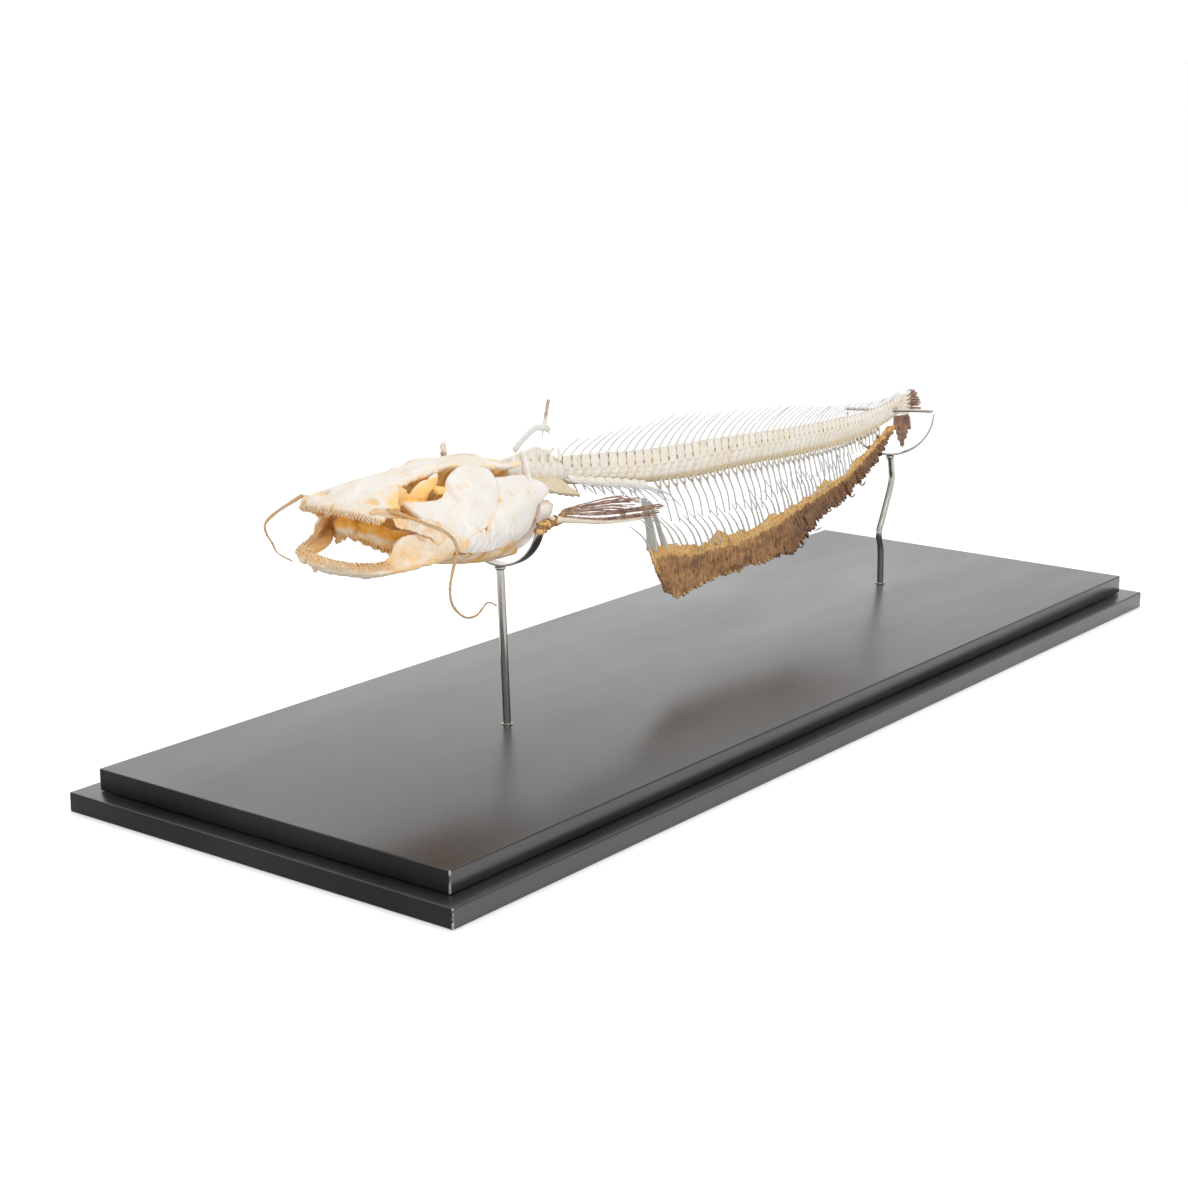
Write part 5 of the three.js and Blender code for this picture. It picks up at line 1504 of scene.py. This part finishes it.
def napeShape():
    body = tube(smoothWay(nape["body"]), 11, 12.5, 40, 110, size=roundEnds(1, 0.84, 0.01))
    relief(body, lambda spot, normal: 0.4 * math.sin(spot.x * 0.95) + 0.3 * bumps(spot * mm, 4))

    def crestPoint(u, v):
        x = mix(nape["crest"][0][0], nape["crest"][-1][0], u)
        comb = 0.7 * abs(math.sin(x * 1.25)) * clamp((x + 128) / 6)
        z = mix(mix(138, 134, u), readSmooth(nape["crest"], x) - 0.3 + comb - 0.5, v)
        return Vector((x, 0.25 * bumps(Vector((x, 0, z)) * mm, 9), z)) * mm
    crest = thicken(gridShape(130, 40, crestPoint), 1.7)

    def grooves(spot, normal):
        return 0.3 * math.sin(spot.x * 2.5 + 0.12 * (spot.z - 130)) * clamp((spot.x + 132) / 6)
    relief(crest, grooves)
    parts = [body, crest]
    # arches from the body up to the crest
    for side in (left, right):
        for k in range(6):
            x = -139 + 6.4 * k
            line = smoothWay([(x, 4.2, 138.6), (x + 1.6, 2.6, 142.4), (x + 3, 0.8, 145)], side)
            parts.append(tube(line, 2.0, 1.4, 8, 14, size=roundEnds(1.3, 0.6, 0.05)))
    shape = fuse(parts, 0.45, 1)
    wings = []
    for side in (left, right):
        inner, outer = smoothWay(nape["wingInner"], side), smoothWay(nape["wingOuter"], side)
        wing = plate(inner, outer, 1.4, 0.8, (0, 0, 1), 60, 40)
        relief(wing, lambda spot, normal: 0.3 * bumps(spot * mm, 2.6) + 0.2 * math.sin(spot.x * 1.6 + spot.z))
        wings.append(wing)
    wingShape = joinShapes(wings)
    for part, amount in ((shape, 0.0), (wingShape, 1.0)):
        paint = newMark(part, "paint")
        for vert in part.verts:
            vert[paint] = amount * clamp(0.85 + 0.3 * bumps(vert.co, 4))
    return joinShapes([shape, wingShape])


headPiece("weberian_complex", napeShape(), "weberian_complex", "column_bone", napeFinish)


stain = {"rays": 26, "lift": 0.35, "soften": 3}


# where little light gets in, the bone is stained by fat and darkened as painted shade: written as the mark
# "hollow"
def stainHollows(pieces, reach):
    places, faces = [], []
    for piece in pieces:
        base = len(places)
        places += [vert.co.copy() for vert in piece.data.vertices]
        faces += [[base + index for index in polygon.vertices] for polygon in piece.data.polygons]
    tree = BVHTree.FromPolygons(places, faces)
    golden = math.pi * (3 - math.sqrt(5))
    rays = []
    for k in range(stain["rays"]):
        z = 1 - 2 * (k + 0.5) / stain["rays"]
        flat = math.sqrt(1 - z * z)
        rays.append(Vector((math.cos(golden * k) * flat, math.sin(golden * k) * flat, z)))
    for piece in pieces:
        mesh = piece.data
        values = []
        for vert in mesh.vertices:
            start = vert.co + vert.normal * stain["lift"] * mm
            outward = [ray for ray in rays if ray.dot(vert.normal) > 0.25]
            shut = 0.0
            for ray in outward:
                away = tree.ray_cast(start, ray, reach * mm)[3]
                if away is not None:
                    shut += 1 - 0.6 * away / (reach * mm)
            values.append(shut / max(1, len(outward)))
        for _ in range(stain["soften"]):
            sums, counts = values[:], [1] * len(values)
            for edge in mesh.edges:
                a, b = edge.vertices
                sums[a] += values[b]
                sums[b] += values[a]
                counts[a] += 1
                counts[b] += 1
            values = [total / many for total, many in zip(sums, counts)]
        layer = mesh.attributes.new("hollow", "FLOAT", "POINT")
        layer.data.foreach_set("value", values)


stainHollows(headPieces, 13)
stainHollows(columnPieces, 5)
print("hollows stained")


# view, floor and light

viewpoint = {"place": (-929.3, -653.9, 343.1), "heading": 37.448, "down": 14.319, "lens": 69.716}
camera = bpy.data.objects.new("camera", bpy.data.cameras.new("camera"))
camera.data.lens = viewpoint["lens"]
camera.data.sensor_width = 36
camera.data.clip_start = 0.01
camera.location = Vector(viewpoint["place"]) * mm
camera.rotation_euler = (math.radians(90 - viewpoint["down"]), 0, math.radians(viewpoint["heading"] - 90))
bpy.context.scene.collection.objects.link(camera)
bpy.context.scene.camera = camera

floorShape = bmesh.new()
bmesh.ops.create_grid(floorShape, x_segments=1, y_segments=1, size=14)
floorMesh = bpy.data.meshes.new("floor")
floorShape.to_mesh(floorMesh)
floorPaint = newFinish("plain white floor", 0.9)[0]
floorShader = floorPaint.node_tree.nodes["Principled BSDF"]
floorShader.inputs["Base Color"].default_value = (0.93, 0.93, 0.935, 1)
floorShader.inputs["Specular IOR Level"].default_value = 0.1
floorShader.inputs["Emission Color"].default_value = (1, 1, 1, 1)
floorShader.inputs["Emission Strength"].default_value = 0.25
floorMesh.materials.append(floorPaint)
floor = bpy.data.objects.new("floor", floorMesh)
bpy.context.scene.collection.objects.link(floor)


def lamp(name, place, aim, size, power):
    light = bpy.data.lights.new(name, "AREA")
    light.shape = "RECTANGLE"
    light.size, light.size_y = size
    light.energy = power
    lit = bpy.data.objects.new(name, light)
    lit.location = place
    lit.rotation_euler = (Vector(aim) - Vector(place)).to_track_quat("-Z", "Y").to_euler()
    bpy.context.scene.collection.objects.link(lit)


lamp("top light", (0.1, 0.1, 1.9), (0, 0, 0), (1.6, 1.0), 9)
lamp("side light", (-0.9, -1.7, 1.3), (-0.1, 0, 0.1), (1.0, 0.8), 5)


# a white tent with dark openings, which show in the steel; the camera sees plain white
def studioWorld():
    world = bpy.data.worlds.new("studio")
    world.use_nodes = True
    tree = world.node_tree
    backdrop = tree.nodes["Background"]
    way = addNode(tree, "ShaderNodeTexCoord").outputs["Generated"]
    heading = addNode(tree, "ShaderNodeTexGradient", {"Vector": way}, gradient_type="RADIAL").outputs["Fac"]
    tent = addNode(tree, "ShaderNodeValToRGB", {"Fac": heading})
    stops = tent.color_ramp.elements
    stops[0].position, stops[0].color = 0.0, (0.9, 0.9, 0.9, 1)
    stops[1].position, stops[1].color = 1.0, (0.9, 0.9, 0.9, 1)
    for position, level in ((0.12, 1.0), (0.30, 0.95), (0.36, 0.35), (0.47, 0.3), (0.54, 0.9), (0.59, 1.25),
                            (0.67, 1.25), (0.74, 0.9), (0.80, 0.12), (0.87, 0.12), (0.93, 0.9)):
        stop = stops.new(position)
        stop.color = (level, level, level, 1)
    seen = addNode(tree, "ShaderNodeLightPath").outputs["Is Camera Ray"]
    tree.links.new(blend(tree, seen, tent.outputs["Color"], (1.0, 1.0, 1.0)), backdrop.inputs["Color"])
    backdrop.inputs["Strength"].default_value = 1.05
    return world


bpy.context.scene.world = studioWorld()
bpy.context.scene.view_settings.view_transform = "Standard"

print("scene ready")
